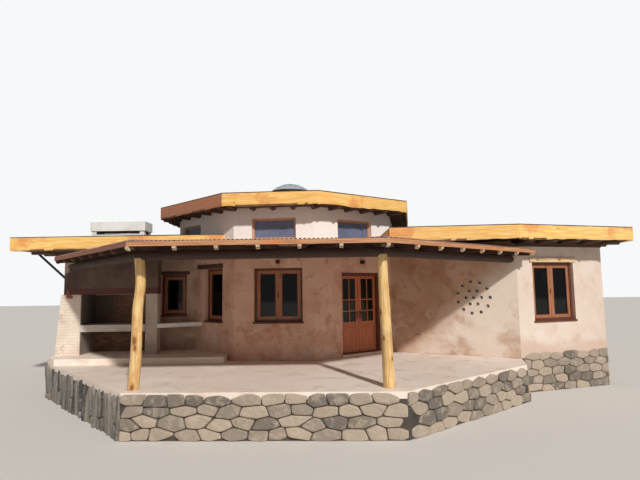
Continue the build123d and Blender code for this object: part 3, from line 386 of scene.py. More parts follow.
def peeled(name, base, light, streak, knot_tone, gloss):
    """Peeled and varnished log: long grain, brown streaks, and the knots that the mesh marks."""
    finish = Finish(name, gloss, light)
    where = finish.stretched(20, 20, 1.1)
    grain = finish.noise(1.5, 6, where, distortion=0.6)
    fine = finish.noise(6, 4, where)
    knot = finish.tone()
    finish.coat(base, grain, 0.38, 0.62)
    finish.coat(streak, fine, 0.56, 0.74, 0.5)
    finish.coat(streak, finish.noise(1.6, 3), 0.5, 0.72, 0.45)
    finish.coat(streak, knot, 0.12, 0.6, 0.7)
    finish.coat(knot_tone, knot, 0.55, 0.85)
    return finish.done((grain, 0.006), (fine, 0.002))


def stone(name, first, second, third, cloudy):
    """Quarry stone: a tone for each stone, cleft relief and specks."""
    finish = Finish(name, 0.82, first)
    pick = finish.tone()
    cloud = finish.noise(7, 6, distortion=0.8)
    specks = finish.noise(60, 4)
    cleft = finish.noise(11, 5, finish.stretched(1, 1, 5))
    finish.coat(second, pick, 0.0, 0.5)
    finish.coat(third, pick, 0.5, 1.0)
    finish.coat(cloudy, cloud, 0.45, 0.7, 0.5)
    finish.coat((70, 64, 58), specks, 0.6, 0.7, 0.3)
    return finish.done((cloud, 0.02), (cleft, 0.01), (specks, 0.002))


def mineral(name, base, light, dark, cloud_scale, relief, roughness=0.85):
    """Cast or trowelled mineral surface: concrete, mortar, lime wash."""
    finish = Finish(name, roughness, base)
    broad = finish.noise(cloud_scale * 0.3, 5, distortion=0.5)
    cloud = finish.noise(cloud_scale, 6, distortion=0.5)
    grain = finish.noise(90, 4)
    finish.coat(light, broad, 0.35, 0.7)
    finish.coat(dark, cloud, 0.5, 0.72, 0.6)
    finish.coat(dark, grain, 0.55, 0.75, 0.2)
    return finish.done((cloud, relief), (grain, 0.0015))


SOOT = (84, 72, 64)
SOOT_HEART = tuple(at((-5150, -2000), 2.20))
PIER_INNER_X = at((-5190, 0)).x
INNER_SIDE = (PIER_INNER_X - 0.03, PIER_INNER_X - 0.01)
BESIDE_PIER = (PIER_INNER_X + 0.5, PIER_INNER_X + 0.2)
WASHED_COURSES = (0.235, 0.072, 0.005)


def blacken(finish, cloud):
    """Lay soot towards the fire."""
    apart = finish.node("VectorMath")
    apart.operation = "DISTANCE"
    finish.put(apart.inputs[0], finish.place)
    finish.put(apart.inputs[1], SOOT_HEART)
    black = finish.fade(finish.plus_some(apart.outputs["Value"], cloud, 0.5), 1.35, 0.45)
    inside = finish.fade(finish.axis("X"), *INNER_SIDE)
    finish.lay(SOOT, finish.times(finish.times(black, inside), 0.92))


def washed_brick(name, base, light, dark):
    """Brickwork under a thin pale wash: its courses show faintly."""
    finish = Finish(name, 0.9, base)
    cloud = finish.noise(3.0, 6, distortion=0.4)
    damp = finish.noise(1.6, 8, roughness=0.6)
    grain = finish.noise(80, 4)
    joints = finish.courses(*WASHED_COURSES)
    worn = finish.fade(finish.noise(2.2, 5), 0.40, 0.60)
    inner = finish.fade(finish.axis("X"), *INNER_SIDE)
    beside = finish.times(inner, finish.fade(finish.axis("X"), *BESIDE_PIER))
    finish.coat(light, cloud, 0.35, 0.7)
    finish.coat(dark, damp, 0.54, 0.60, 0.35)
    finish.lay(dark, finish.times(joints, finish.times(worn, 0.28)))
    finish.lay((92, 76, 66), finish.times(inner, 0.3))
    finish.lay((48, 40, 36), finish.times(beside, 0.6))
    blacken(finish, cloud)
    return finish.done((cloud, 0.012), (finish.times(joints, -1.0), 0.004), (grain, 0.002))


def sooty_brick(name, dark, light, smoke):
    """Old brick, each with its own tone, blackened towards the fire, with painted shade in the niche below
    it.
    """
    finish = Finish(name, 0.9, dark)
    cloud = finish.noise(5, 5)
    finish.lay(light, finish.tone())
    # Painted shade in the niche under the fire.
    finish.coat(smoke, finish.axis("Z"), 1.7, 1.5, 0.4)
    blacken(finish, cloud)
    return finish.done((cloud, 0.01), (finish.noise(70, 4), 0.002))


def metal(name, base, mottle, rust, rust_share, roughness, metallic):
    """Sheet or painted metal with weathering."""
    finish = Finish(name, roughness, base, Metallic=metallic)
    cloud = finish.noise(2.5, 6, distortion=0.5)
    finish.coat(mottle, cloud, 0.35, 0.7)
    finish.coat(rust, finish.noise(14, 5), 1 - rust_share, 1.1 - rust_share, 0.8)
    return finish.done((cloud, 0.002))


def glass(name, tint, roughness):
    """Clear pane with a little dust."""
    finish = Finish(name, roughness, tint, IOR=1.45, Transmission_Weight=0.85, Specular_IOR_Level=0.2)
    finish.coat((150, 140, 130), finish.noise(6, 5), 0.5, 0.8, 0.08)
    return finish.done()


PINE = ((252, 216, 140), (238, 180, 92), (156, 88, 38))
ORANGE_PINE = ((200, 149, 107), (177, 118, 80), (108, 62, 39))
# Painted shade for the eave board's left facet and the hall's left-facing boards.
EAVE_PAINTED_SHADE, HALL_PAINTED_SHADE = (146, 94, 80), (176, 110, 92)
HIP_X, HALL_CORNER_X = at(EAVE[1]).x, at(HALL_EAVE[1]).x
# Each finish: its recipe, and what the recipe takes after the name
LOOKS = {
    "clay_plaster": (clay, (214, 170, 145), (231, 196, 172), (178, 117, 87), 0.95, 0.08),
    "hall_plaster": (clay, (228, 212, 196), (236, 224, 210), (200, 166, 140), 0.5, 0.3),
    "wing_plaster": (clay, (219, 200, 185), (230, 215, 202), (192, 154, 128), 0.45, 0.5),
    # The diagonal wall: a darker base as painted shade under the porch roof's shadow, and painted light over
    # its sunlit lower right.
    "bottle_plaster": (clay, (188, 150, 122), (206, 172, 146), (160, 108, 78), 0.95, 0.08,
                       (242, 229, 214), (1.95, 2.95)),
    # The wall behind the grill: darker, partly soot, partly painted shade under the porch.
    "nook_plaster": (clay, (184, 154, 134), (202, 176, 156), (142, 102, 80), 0.9, 0.4),
    # The grill hood: soot, and painted shade under the deep porch.
    "smoked_plaster": (clay, (102, 83, 73), (118, 97, 85), (69, 53, 45), 0.8, 0.0, (98, 79, 69)),
    "slate": (mineral, (70, 63, 57), (88, 79, 71), (50, 45, 41), 6, 0.02),
    "concrete": (mineral, (238, 220, 205), (246, 232, 219), (212, 190, 173), 2.4, 0.003, 0.75),
    "pale_concrete": (mineral, (248, 246, 244), (252, 251, 250), (226, 222, 218), 2.4, 0.003),
    "grey_concrete": (mineral, (208, 198, 188), (220, 210, 200), (180, 168, 156), 2.4, 0.003),
    "lime_wash": (mineral, (224, 221, 216), (234, 232, 228), (204, 198, 190), 4.0, 0.01),
    "grill_masonry": (washed_brick, (228, 210, 192), (240, 226, 210), (178, 138, 116)),
    "sooty_brick": (sooty_brick, (132, 92, 72), (166, 126, 102), (58, 46, 40)),
    "field_stone": (stone, (148, 134, 120), (178, 161, 143), (112, 103, 94), (194, 177, 158)),
    "slab_stone": (stone, (114, 108, 101), (140, 132, 122), (72, 69, 65), (158, 149, 139)),
    "pine": (timber, *PINE, "level"),
    "log": (timber, *PINE, "upright"),
    "peeled_log": (peeled, (214, 168, 104), (234, 202, 142), (176, 120, 68), (138, 88, 50), 0.42),
    "red_wood": (timber, (116, 62, 43), (91, 46, 33), (50, 25, 19), "upright", False, 0.4),
    "sash_wood": (timber, (176, 118, 84), (146, 92, 63), (88, 52, 36), "upright", False, 0.4),
    "tan_wood": (timber, (206, 164, 130), (184, 138, 104), (120, 80, 56), "upright", False, 0.5),
    "door_wood": (timber, (198, 116, 74), (180, 100, 62), (132, 72, 46), "upright", False, 0.4),
    "old_wood": (timber, (98, 68, 48), (74, 50, 36), (42, 28, 20), "level", False, 0.7),
    # Dark wood for the porch beam, rafters and ledger boards: painted shade under the porch sheet.
    "beam_wood": (timber, (72, 50, 38), (56, 38, 29), (32, 21, 16), "level", False, 0.75),
    "char_wood": (timber, (104, 58, 46), (80, 42, 36), (46, 26, 22), "level", False, 0.6),
    "grey_pine": (timber, (226, 198, 156), (204, 168, 122), (140, 102, 70), "level", False, 0.6),
    "end_grain": (timber, (224, 198, 170), (200, 166, 132), (134, 96, 70), "upright", False),
    "fired_clay": (timber, (168, 98, 82), (140, 74, 62), (100, 52, 44), "upright", False, 0.85),
    "eave_wood": (edge_board, *ORANGE_PINE, EAVE_PAINTED_SHADE, HIP_X - 0.01, HIP_X + 0.01),
    "hall_edge_wood": (edge_board, *PINE, HALL_PAINTED_SHADE, HALL_CORNER_X - 0.012, HALL_CORNER_X - 0.004),
    "wing_edge_wood": (edge_board, *PINE),
    "roof_skin": (boarded_roof, (96, 92, 88), (120, 114, 106), (40, 30, 24), (84, 58, 42)),
    "sheet_metal": (metal, (186, 150, 138), (208, 178, 168), (150, 84, 58), 0.40, 0.45, 0.35),
    "dark_metal": (metal, (46, 40, 38), (62, 54, 50), (96, 60, 44), 0.34, 0.5, 0.5),
    # High panes: opaque, with the sky's blue painted in as a reflection.
    "sky_glass": (metal, (98, 106, 132), (112, 121, 146), (140, 138, 134), 0.30, 0.12, 0.0),
    # Near black panes: painted shade of the dark rooms behind them.
    "clear_glass": (glass, (12, 12, 14), 0.04),
    "dome_glass": (glass, (226, 232, 236), 0.12),
    "bottle_glass": (glass, (22, 24, 14), 0.15),
}
materials = {name: kind(name, *values) for name, (kind, *values) in LOOKS.items()}

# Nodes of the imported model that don't wear the finish named like their slot
OWN_LOOK = {
    "grill_hood": "smoked_plaster", "left_front_wall": "nook_plaster", "bottle_wall": "bottle_plaster",
    "grill_lintel": "char_wood", "right_window_lintel": "grey_pine", "porch_beam": "beam_wood",
    "porch_rafters": "beam_wood", "clerestory_frames": "tan_wood", "porch_eave_board": "eave_wood",
    "side_counter": "pale_concrete", "grill_counter": "grey_concrete", "clerestory_glass": "sky_glass",
    "left_door_leaf": "door_wood", "right_door_leaf": "door_wood",
}
slot_of = {part["node"]: part["material_slot"] for part in frame["record"]["subparts"]}
for name, node in frame["nodes"].items():
    node.material_slots[0].material = materials[OWN_LOOK.get(name, slot_of[name])]

bpy.ops.mesh.primitive_plane_add(size=160, location=(0, 0, -0.001))
floor = bpy.context.object
floor.name = "studio_floor"
floor.data.materials.append(Finish("studio_floor", 0.9, (224, 220, 214)).done())


# Mesh making

def turn(count):
    """Angles at even steps round a full turn."""
    return [2 * math.pi * i / count for i in range(count)]


class Shape:
    """Collects the faces of one piece, then makes it one mesh that rides on a body."""

    def __init__(self):
        self.points, self.faces, self.tones, self.tone = [], [], [], 0.5

    def rings(self, rings, close_start=True, close_end=True):
        """Skin through closed rings of equal count."""
        first, count = len(self.points), len(rings[0])
        self.points += [point for ring in rings for point in ring]
        self.tones += [self.tone] * (len(self.points) - first)
        for low in range(first, len(self.points) - count, count):
            for i in range(count):
                j = (i + 1) % count
                self.faces.append((low + i, low + j, low + count + j, low + count + i))
        if close_start:
            self.faces.append(tuple(reversed(range(first, first + count))))
        if close_end:
            self.faces.append(tuple(range(len(self.points) - count, len(self.points))))

    def bar(self, origin, along, across, high, chamfer=0.003):
        """A box with softened edges, from its corner and three edge vectors."""
        lengths = [along.length, across.length, high.length]
        axes = [along.normalized(), across.normalized(), high.normalized()]
        c = min(chamfer, min(lengths) / 3)

        def section(z, inset):
            x0, x1 = inset, lengths[0] - inset
            y0, y1 = inset, lengths[1] - inset
            flat = [(x0 + c, y0), (x1 - c, y0), (x1, y0 + c), (x1, y1 - c),
                    (x1 - c, y1), (x0 + c, y1), (x0, y1 - c), (x0, y0 + c)]
            return [origin + axes[0] * x + axes[1] * y + axes[2] * z for x, y in flat]

        self.rings([section(0, c), section(c, 0), section(lengths[2] - c, 0), section(lengths[2], c)])

    def tube(self, path, radii, sides=14):
        """A round bar along points, each with its radius."""
        rings = []
        side = None
        for k, (point, radius) in enumerate(zip(path, radii)):
            axis = (path[min(k + 1, len(path) - 1)] - path[max(k - 1, 0)]).normalized()
            if side is None:
                side = axis.orthogonal().normalized()
            side = (side - axis * side.dot(axis)).normalized()
            other = axis.cross(side)
            rings.append([point + (side * math.cos(angle) + other * math.sin(angle)) * radius
                          for angle in turn(sides)])
        self.rings(rings)

    def finish(self, name, slot, look=None, body="house", smooth=False, replaces=()):
        """Make the piece, in the finish named like its slot or in its own."""
        mesh = bpy.data.meshes.new(name)
        mesh.from_pydata(self.points, [], self.faces)
        mesh.attributes.new("tone", "FLOAT", "POINT").data.foreach_set("value", self.tones)
        mesh.materials.append(materials[look or slot])
        mesh.update()
        if smooth:
            mesh.shade_smooth()
        piece = bpy.data.objects.new(name, mesh)
        bpy.context.scene.collection.objects.link(piece)
        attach(piece, body)
        if replaces:
            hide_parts(*replaces)


def board_along(shape, a, b, bottom, high, out):
    """A board from plan point a to b, reaching out to its right, or to its left if out is negative."""
    run = at(b) - at(a)
    shape.bar(at(a, bottom), run, rightward(run).normalized() * out, up(high), 0.004)


# One generator serves all shapes, so the order of the pieces counts
rng = random.Random(8475)

# Stone facing: profiles are (share of the outline, share of the depth) from the wall outwards

BULGING = ((1.0, -0.03), (1.0, 0.45), (0.94, 0.80), (0.80, 0.96), (0.45, 1.0))
SPLIT = ((1.0, -0.03), (1.0, 0.86), (0.96, 1.0), (0.5, 1.02))
DEEPEST = -0.03
STONE_GAP = 0.014


def one_stone(shape, corner, along, out, outline, depth, profile):
    """One laid stone: its outline in the wall plane, standing proud of the mortar."""
    mx, mz = (sum(values) / len(outline) for values in zip(*outline))
    tilt = (rng.uniform(-0.06, 0.06), rng.uniform(-0.10, 0.10))
    rings = []
    for shrink, proud in profile:
        ring = []
        for x, z in outline:
            px, pz = mx + (x - mx) * shrink, mz + (z - mz) * shrink
            lean = (px - mx) * tilt[0] + (pz - mz) * tilt[1]
            rough = 0.008 * noise.noise(Vector((px * 9, pz * 9, corner.x + corner.y)))
            reach = max(depth * proud + (lean + rough if proud > 0.4 else 0), DEEPEST)
            ring.append(corner + along * px + out * reach + up(pz))
        rings.append(ring)
    shape.tone = rng.random()
    shape.rings(rings, close_start=False)


def clip(outline, point, normal):
    """The part of a convex outline behind the line through a point."""
    kept = []
    for (ax, ay), (bx, by) in pairs(outline, closed=True):
        da = (ax - point[0]) * normal[0] + (ay - point[1]) * normal[1]
        db = (bx - point[0]) * normal[0] + (by - point[1]) * normal[1]
        if da <= 0:
            kept.append((ax, ay))
        if da * db < 0:
            t = da / (da - db)
            kept.append((ax + (bx - ax) * t, ay + (by - ay) * t))
    return kept


def rounded(outline, cut):
    """An outline with each corner cut back by a share of its edges."""
    softer = []
    for (ax, ay), (bx, by) in pairs(outline, closed=True):
        dx, dy = bx - ax, by - ay
        softer += [(ax + dx * cut, ay + dy * cut), (bx - dx * cut, by - dy * cut)]
    return softer


def rubble(span, top, length, course):
    """Outlines of field stones that fill a strip: each takes the ground nearest its own seed."""
    columns, rows = max(1, round(span / length)), max(1, round(top / course))
    wide, high = span / columns, top / rows
    squash = wide / high
    seeds = []
    for j in range(-1, rows + 1):
        for i in range(-1, columns + 1):
            x = (i + (0.25 if j % 2 else 0.75) + rng.uniform(-0.30, 0.30)) * wide
            seeds.append((x, (j + rng.uniform(0.25, 0.75)) * high))
    outlines = []
    for sx, sz in seeds:
        if not (0 < sx < span and 0 < sz < top):
            continue
        outline = [(0, 0), (span, 0), (span, top), (0, top)]
        for ox, oz in seeds:
            if 0 < abs(ox - sx) + abs(oz - sz) and abs(ox - sx) < 3 * wide and abs(oz - sz) < 3 * high:
                nx, nz = ox - sx, (oz - sz) * squash ** 2
                size = math.hypot(nx, nz)
                nx, nz = nx / size, nz / size
                middle = ((sx + ox) / 2 - nx * STONE_GAP / 2, (sz + oz) / 2 - nz * STONE_GAP / 2)
                outline = clip(outline, middle, (nx, nz))
        if len(outline) > 2:
            outlines.append(rounded(rounded(outline, rng.uniform(0.08, 0.16)), 0.24))
    return outlines


def stone_band(shape, a, b, top, course=0.17, length=0.36, depth=0.035):
    """Rubble from the ground up over a strip of wall from plan point a to b."""
    start, run = at(a), at(b) - at(a)
    along = run.normalized()
    for outline in rubble(run.length, top, length, course):
        one_stone(shape, start, along, rightward(along), outline, depth * rng.uniform(0.7, 1.2), BULGING)


def slab_band(shape, a, b, top):
    """Upright slate slabs side by side, ragged at the top, with dark gaps between them."""
    start, run = at(a), at(b) - at(a)
    along = run.normalized()
    span = run.length
    x = 0
    while x < span - 0.02:
        wide = rng.uniform(0.08, 0.22)
        right = span if span - (x + wide) < 0.08 else x + wide
        split = top * rng.uniform(0.12, 0.45)
        rows = ((0, split - 0.015), (split, top - rng.uniform(0, 0.05)))
        if rng.random() < 0.6:
            rows = ((0, top - rng.uniform(0, 0.10)),)
        x0, x1 = x + rng.uniform(0.008, 0.030), right - rng.uniform(0.008, 0.034)
        for low, high in rows:
            lean = rng.uniform(-0.018, 0.018)
            cut = rng.uniform(0.012, 0.030)
            waist = rng.uniform(-0.016, 0.016)
            half = low + (high - low) * rng.uniform(0.35, 0.7)
            crown = x + (right - x) * rng.uniform(0.25, 0.75)
            taper = [rng.uniform(-0.01, 0.20) * wide for _ in range(4)]
            outline = [
                (x0 + taper[0] + cut, low), (x1 - taper[1] - cut, low),
                (x1 - taper[1], low + cut), (x1 + waist, half),
                (x1 - taper[2] + lean, high - rng.uniform(1.0, 4.0) * cut), (crown, high),
                (x0 + taper[3] + lean, high - rng.uniform(1.0, 4.0) * cut),
                (x0 + waist, half), (x0 + taper[0], low + cut),
            ]
            depth = rng.uniform(0.018, 0.062)
            one_stone(shape, start, along, rightward(along), rounded(outline, 0.08), depth, SPLIT)
        x = right


patio_slabs, patio_stones, footing_stones = Shape(), Shape(), Shape()
for a, b in pairs(PATIO[:3]):
    slab_band(patio_slabs, a, b, PATIO_STONE_TOP)
patio_slabs.finish("patio_slabs", "slate", "slab_stone")
for a, b in pairs(PATIO[2:]):
    stone_band(patio_stones, a, b, PATIO_STONE_TOP, course=0.18, length=0.42, depth=0.045)
patio_stones.finish("patio_stones", "slate", "field_stone")
for wing in (RIGHT_WING, LEFT_WING[:3], (HALL[5], HALL[6], LEFT_WING[0])):
    for a, b in pairs(wing):
        stone_band(footing_stones, a, b, FOOTING_TOP, depth=0.03)
footing_stones.finish("footing_stones", "slate", "field_stone")

# Log posts: the foot in plan, and the bends of the centre line from foot to head

POST_RADII = (0.104, 0.100, 0.096, 0.093, 0.090, 0.089)
POST_TOP = 3.16
HEAD_ROUND = 0.022
POST_KNOTS, POST_SIDES, POST_ROWS = 13, 56, 170
POSTS = (
    ("left_post", (-2450, -6450), ((0, 0), (25, 10), (50, -20), (45, 15), (95, 0), (60, 0))),
    ("right_post", (2100, -6600), ((0, 0), (-15, 15), (-30, -15), (-45, 10), (-60, 0), (-70, 0))),
)


def blend_along(values, t):
    """Smooth value at t (0 to 1) through evenly spaced values."""
    x = t * (len(values) - 1)
    k = min(int(x), len(values) - 2)
    u = x - k
    p0, p1 = values[max(k - 1, 0)], values[k]
    p2, p3 = values[k + 1], values[min(k + 2, len(values) - 1)]
    return 0.5 * (2 * p1 + (p2 - p0) * u + (2 * p0 - 5 * p1 + 4 * p2 - p3) * u * u
                  + (3 * p1 - p0 - 3 * p2 + p3) * u ** 3)


def log_post(name, centres):
    """A crooked upright log with swollen knots, its centre line given at even steps."""
    length = sum((b - a).length for a, b in pairs(centres))
    marks = [(rng.uniform(0.03, 0.97) * length, rng.uniform(0, 2 * math.pi), rng.uniform(0.016, 0.034))
             for _ in range(POST_KNOTS)]
    phase = rng.uniform(0, 50)
    rings, tones = [], []
    for r in range(POST_ROWS + 1):
        t = r / POST_ROWS
        centre, ahead, behind = (Vector([blend_along([c[i] for c in centres], place) for i in range(3)])
                                 for place in (t, min(t + 0.01, 1), max(t - 0.01, 0)))
        axis = (ahead - behind).normalized()
        side = Vector((1, 0, 0))
        side = (side - axis * side.dot(axis)).normalized()
        other = axis.cross(side)
        radius = blend_along(POST_RADII, t)
        if t > 1 - HEAD_ROUND:
            radius *= math.sqrt(1 - 0.7 * ((t - 1 + HEAD_ROUND) / HEAD_ROUND) ** 2)
        ring = []
        for angle in turn(POST_SIDES):
            cos, sin = math.cos(angle), math.sin(angle)
            swell = 0.05 * noise.noise(Vector((cos, sin, t * length * 1.4 + phase)))
            swell += 0.012 * noise.noise(Vector((cos * 4, sin * 4, t * length * 6 + phase)))
            mark = 0.0
            for height, bearing, size in marks:
                around = (angle - bearing + math.pi) % (2 * math.pi) - math.pi
                apart = math.hypot((t * length - height) * 0.42, around * radius)
                mark = max(mark, math.exp(-(apart / size) ** 2 / 2))
            ring.append(centre + (side * cos + other * sin) * radius * (1 + swell + 0.09 * mark))
            tones.append(mark)
        rings.append(ring)
    shape = Shape()
    shape.rings(rings)
    shape.tones = tones
    shape.finish(name + "_log", "log", "peeled_log", smooth=True, replaces=(name,))


for name, foot, bends in POSTS:
    steps = len(bends) - 1
    log_post(name, [at((foot[0] + dx, foot[1] + dy), PORCH_FLOOR + (POST_TOP - PORCH_FLOOR) * k / steps)
                    for k, (dx, dy) in enumerate(bends)])

# Rafters under the overhangs: the spacing and radius of their tails

HALL_TAILS = (0.47, 0.060)
WING_TAILS = (0.62, 0.065)
TAIL_SETBACK, SHORTEST_TAIL, TAIL_BEHIND = 0.045, 0.08, 0.1
BAY_BOARD_H, BAY_BOARD_T = 0.15, 0.028
GRILL_CORNER = (-5650, -2000)


def tails(shape, wall, edge, top, spacing, radius):
    """Round rafter tails from a wall line out to a roof edge line, half sunk in the deck."""
    (wa, wb), (ea, eb) = [(at(p, top), at(q, top)) for p, q in (wall, edge)]
    along = (wb - wa).normalized()
    out = rightward(along)
    edge_out = rightward((eb - ea).normalized())
    span = (wb - wa).length
    count = max(2, round(span / spacing))
    for k in range(count + 1):
        start = wa + along * (span * k / count)
        reach = (ea - start).dot(edge_out) / max(out.dot(edge_out), 0.3) - TAIL_SETBACK
        if reach < SHORTEST_TAIL:
            continue
        r = radius * rng.uniform(0.9, 1.1)
        shape.tone = rng.random()
        drop = up(0.25 * r)
        shape.tube([start - out * TAIL_BEHIND - drop, start + out * reach - drop], [r, r * 0.94], 12)


hall_tails, wing_tails, bay_boards = Shape(), Shape(), Shape()
for wall, edge in zip(pairs(HALL, closed=True), pairs(HALL_EAVE, closed=True)):
    tails(hall_tails, wall, edge, HALL_TOP, *HALL_TAILS)
hall_tails.finish("hall_rafter_tails", "log", "old_wood", smooth=True)
for walls, roof in ((RIGHT_WING, RIGHT_ROOF[1:]), (LEFT_WING[:3] + (GRILL_CORNER,), LEFT_ROOF)):
    for wall, edge in zip(pairs(walls), pairs(roof)):
        tails(wing_tails, wall, edge, WING_TOP, *WING_TAILS)
wing_tails.finish("wing_rafter_tails", "log", "old_wood", smooth=True)
# Dark wall plates along the tops of the wing walls, partly painted shade under the wing overhangs.
for wing in (RIGHT_WING, LEFT_WING[:3]):
    for a, b in pairs(wing):
        board_along(bay_boards, a, b, WING_TOP - BAY_BOARD_H, BAY_BOARD_H, BAY_BOARD_T)
bay_boards.finish("bay_boards", "log", "old_wood")

# Membrane laps: over the hall roof's hips and middles, and across the wing roofs

DECK_EDGE_Z, ROOF_TOP, WING_DECK_Z = HALL_TOP + 0.24, HALL_TOP + 0.76, WING_TOP + 0.22
LAP_W, LAP_T = 0.09, 0.006
LAP_STEP = 950
# First and last place along X, front and back
WING_LAPS = ((-6060, -3500, -2880, 3540), (4600, 8500, -2900, 3540))
# Where a lap on the hall roof starts and ends, as shares of the eave's reach
EDGE_SHARE, CURB_SHARE = 3900 / 3950, 770 / 3950
laps = Shape()


def lap(start, end):
    """A flat membrane strip between two points of a roof surface."""
    side = rightward(end - start).normalized()
    laps.bar(start - side * LAP_W / 2 - up(LAP_T / 2), end - start, side * LAP_W, up(LAP_T), 0.001)


for (ax, ay), (bx, by) in pairs(HALL_EAVE, closed=True):
    for x, y in ((ax, ay), ((ax + bx) / 2, (ay + by) / 2)):
        lap(at((x * EDGE_SHARE, y * EDGE_SHARE), DECK_EDGE_Z), at((x * CURB_SHARE, y * CURB_SHARE), ROOF_TOP))
for first, last, front, back in WING_LAPS:
    for x in range(first, last + 1, LAP_STEP):
        lap(at((x, front), WING_DECK_Z), at((x, back), WING_DECK_Z))
laps.finish("membrane_laps", "roof_skin")

# Live-edged fascia boards, with a metal cap over them

FASCIA_T = 0.04
FASCIA_ROWS = 9
HALL_FASCIA_H, WING_FASCIA_H = 0.29, 0.30
BOARD_L = 3.6
STATION = 0.05
LIVE_EDGE = 0.055
BARK = 0.92
CAP_W, CAP_T = 0.09, 0.02
RIGHT_RETURNS = ((2560, -2056), (1650, 2949))
LEFT_RETURNS = ((-1300, 3010), (-1510, -2910))


def board_run(shape, outer, bottom, top):
    """Edge boards along plan points, each board with its own tone and a wavy live edge below."""
    for a, b in pairs(outer):
        start, end = at(a), at(b)
        span = (end - start).length
        along = (end - start) / span
        inward = -rightward(along)
        boards = max(1, round(span / BOARD_L))
        for k in range(boards):
            x0, x1 = span * k / boards, span * (k + 1) / boards
            tone, seed = rng.uniform(0, 0.7), rng.uniform(0, 90)
            stations = max(2, round((x1 - x0) / STATION))
            rings, tones = [], []
            for i in range(stations + 1):
                x = x0 + (x1 - x0) * (i / stations)
                wave = 0.5 + 0.9 * noise.noise(Vector((x * 0.9, seed, 0)))
                wave += 0.35 * noise.noise(Vector((x * 4.5, seed, 9)))
                low = bottom - LIVE_EDGE * min(max(wave, 0), 1)
                ring = []
                for row in range(FASCIA_ROWS):
                    z = low + (top - low) * row / (FASCIA_ROWS - 1)
                    dent = 0.003 + 0.0025 * noise.noise(Vector((x * 2, z * 30, seed)))
                    dent += 0.004 if i in (0, stations) else 0
                    dent += 0.010 * (1 - row / 1.5) if row < 2 else 0
                    ring.append(start + along * x + inward * dent + up(z))
                    bark = row == 0 or row == 1 and wave > 0.65 or row == FASCIA_ROWS - 1 and wave < 0.35
                    tones.append(BARK if bark else tone)
                for z in (top, low + 0.012):
                    ring.append(start + along * x + inward * FASCIA_T + up(z))
                    tones.append(tone)
                rings.append(ring)
            first = len(shape.tones)
            shape.rings(rings)
            shape.tones[first:] = tones


hall_boards, caps = Shape(), Shape()
board_run(hall_boards, HALL_EAVE + HALL_EAVE[:1], HALL_TOP, HALL_TOP + HALL_FASCIA_H)
hall_boards.finish("hall_edge_boards", "pine", "hall_edge_wood", replaces=("hall_fascia",))
for name, roof, (first, last) in (("right", RIGHT_ROOF, RIGHT_RETURNS), ("left", LEFT_ROOF, LEFT_RETURNS)):
    boards = Shape()
    board_run(boards, (first,) + roof + (last,), WING_TOP, WING_TOP + WING_FASCIA_H)
    boards.finish(name + "_edge_boards", "pine", "wing_edge_wood", replaces=(name + "_fascia",))

for a, b in pairs(HALL_EAVE, closed=True):
    board_along(caps, a, b, HALL_TOP + HALL_FASCIA_H, CAP_T, -CAP_W)
for a, b in (*pairs(RIGHT_ROOF), *pairs(LEFT_ROOF)):
    board_along(caps, a, b, WING_TOP + WING_FASCIA_H, CAP_T, -CAP_W)
caps.finish("roof_edge_caps", "dark_metal")

# Windows and door, in millimetres on the faces of the walls

class Face:
    """A wall's outer face: points by distance along it, depth behind it, and height above the porch floor."""

    def __init__(self, a, b):
        self.origin = at(a)
        self.along = (at(b) - self.origin).normalized()
        self.out = rightward(self.along)

    def point(self, x, depth, height):
        return (self.origin + self.along * (x / 1000) - self.out * (depth / 1000)
                + up(PORCH_FLOOR + height / 1000))

    def bar(self, shape, x, width, depth, thick, bottom, high, chamfer=0.003):
        """An upright box on the face: its left side, width, front depth, thickness, underside and height."""
        shape.tone = rng.random()
        shape.bar(self.point(x, depth, bottom), self.along * (width / 1000), -self.out * (thick / 1000),
                  up(high / 1000), chamfer)


def surround(shape, face, left, bottom, width, high, member, depth, thick, chamfer=0.003):
    """Four bars round a rectangle on a face."""
    for x in (left, left + width - member):
        face.bar(shape, x, member, depth, thick, bottom, high, chamfer)
    for z in (bottom, bottom + high - member):
        face.bar(shape, left + member, width - 2 * member, depth + 1, thick - 1, z, member, chamfer)


FRAME_W, SASH_W = 55, 85
WINDOW_REVEAL, SASH_FACE, GLASS_FACE = 90, 112.5, 131
SASH_PLAY, SASH_PROUD, SASH_PLATE = 3, 9, 12
BEAD_W, BEAD_LAP, BEAD_PROUD, BEAD_T = 14, 4, 20, 19
MULLION_W, MULLION_PROUD, MULLION_T, MULLION_PLAY = 38, 16, 10, 4
HANDLE_X, HANDLE_W, HANDLE_H, HANDLE_PROUD, HANDLE_T = -34, 24, 120, 22, 14
SILL_EAR, SILL_PROUD, SILL_DROP, SILL_H = 25, 32, 34, 42
TALL_WALL, TALL_MIDDLE = (HALL[0], HALL[1]), math.dist(HALL[0], HALL[1]) - 862
SMALL_WALL, SMALL_MIDDLE = ((0, -2000), (1, -2000)), -3070
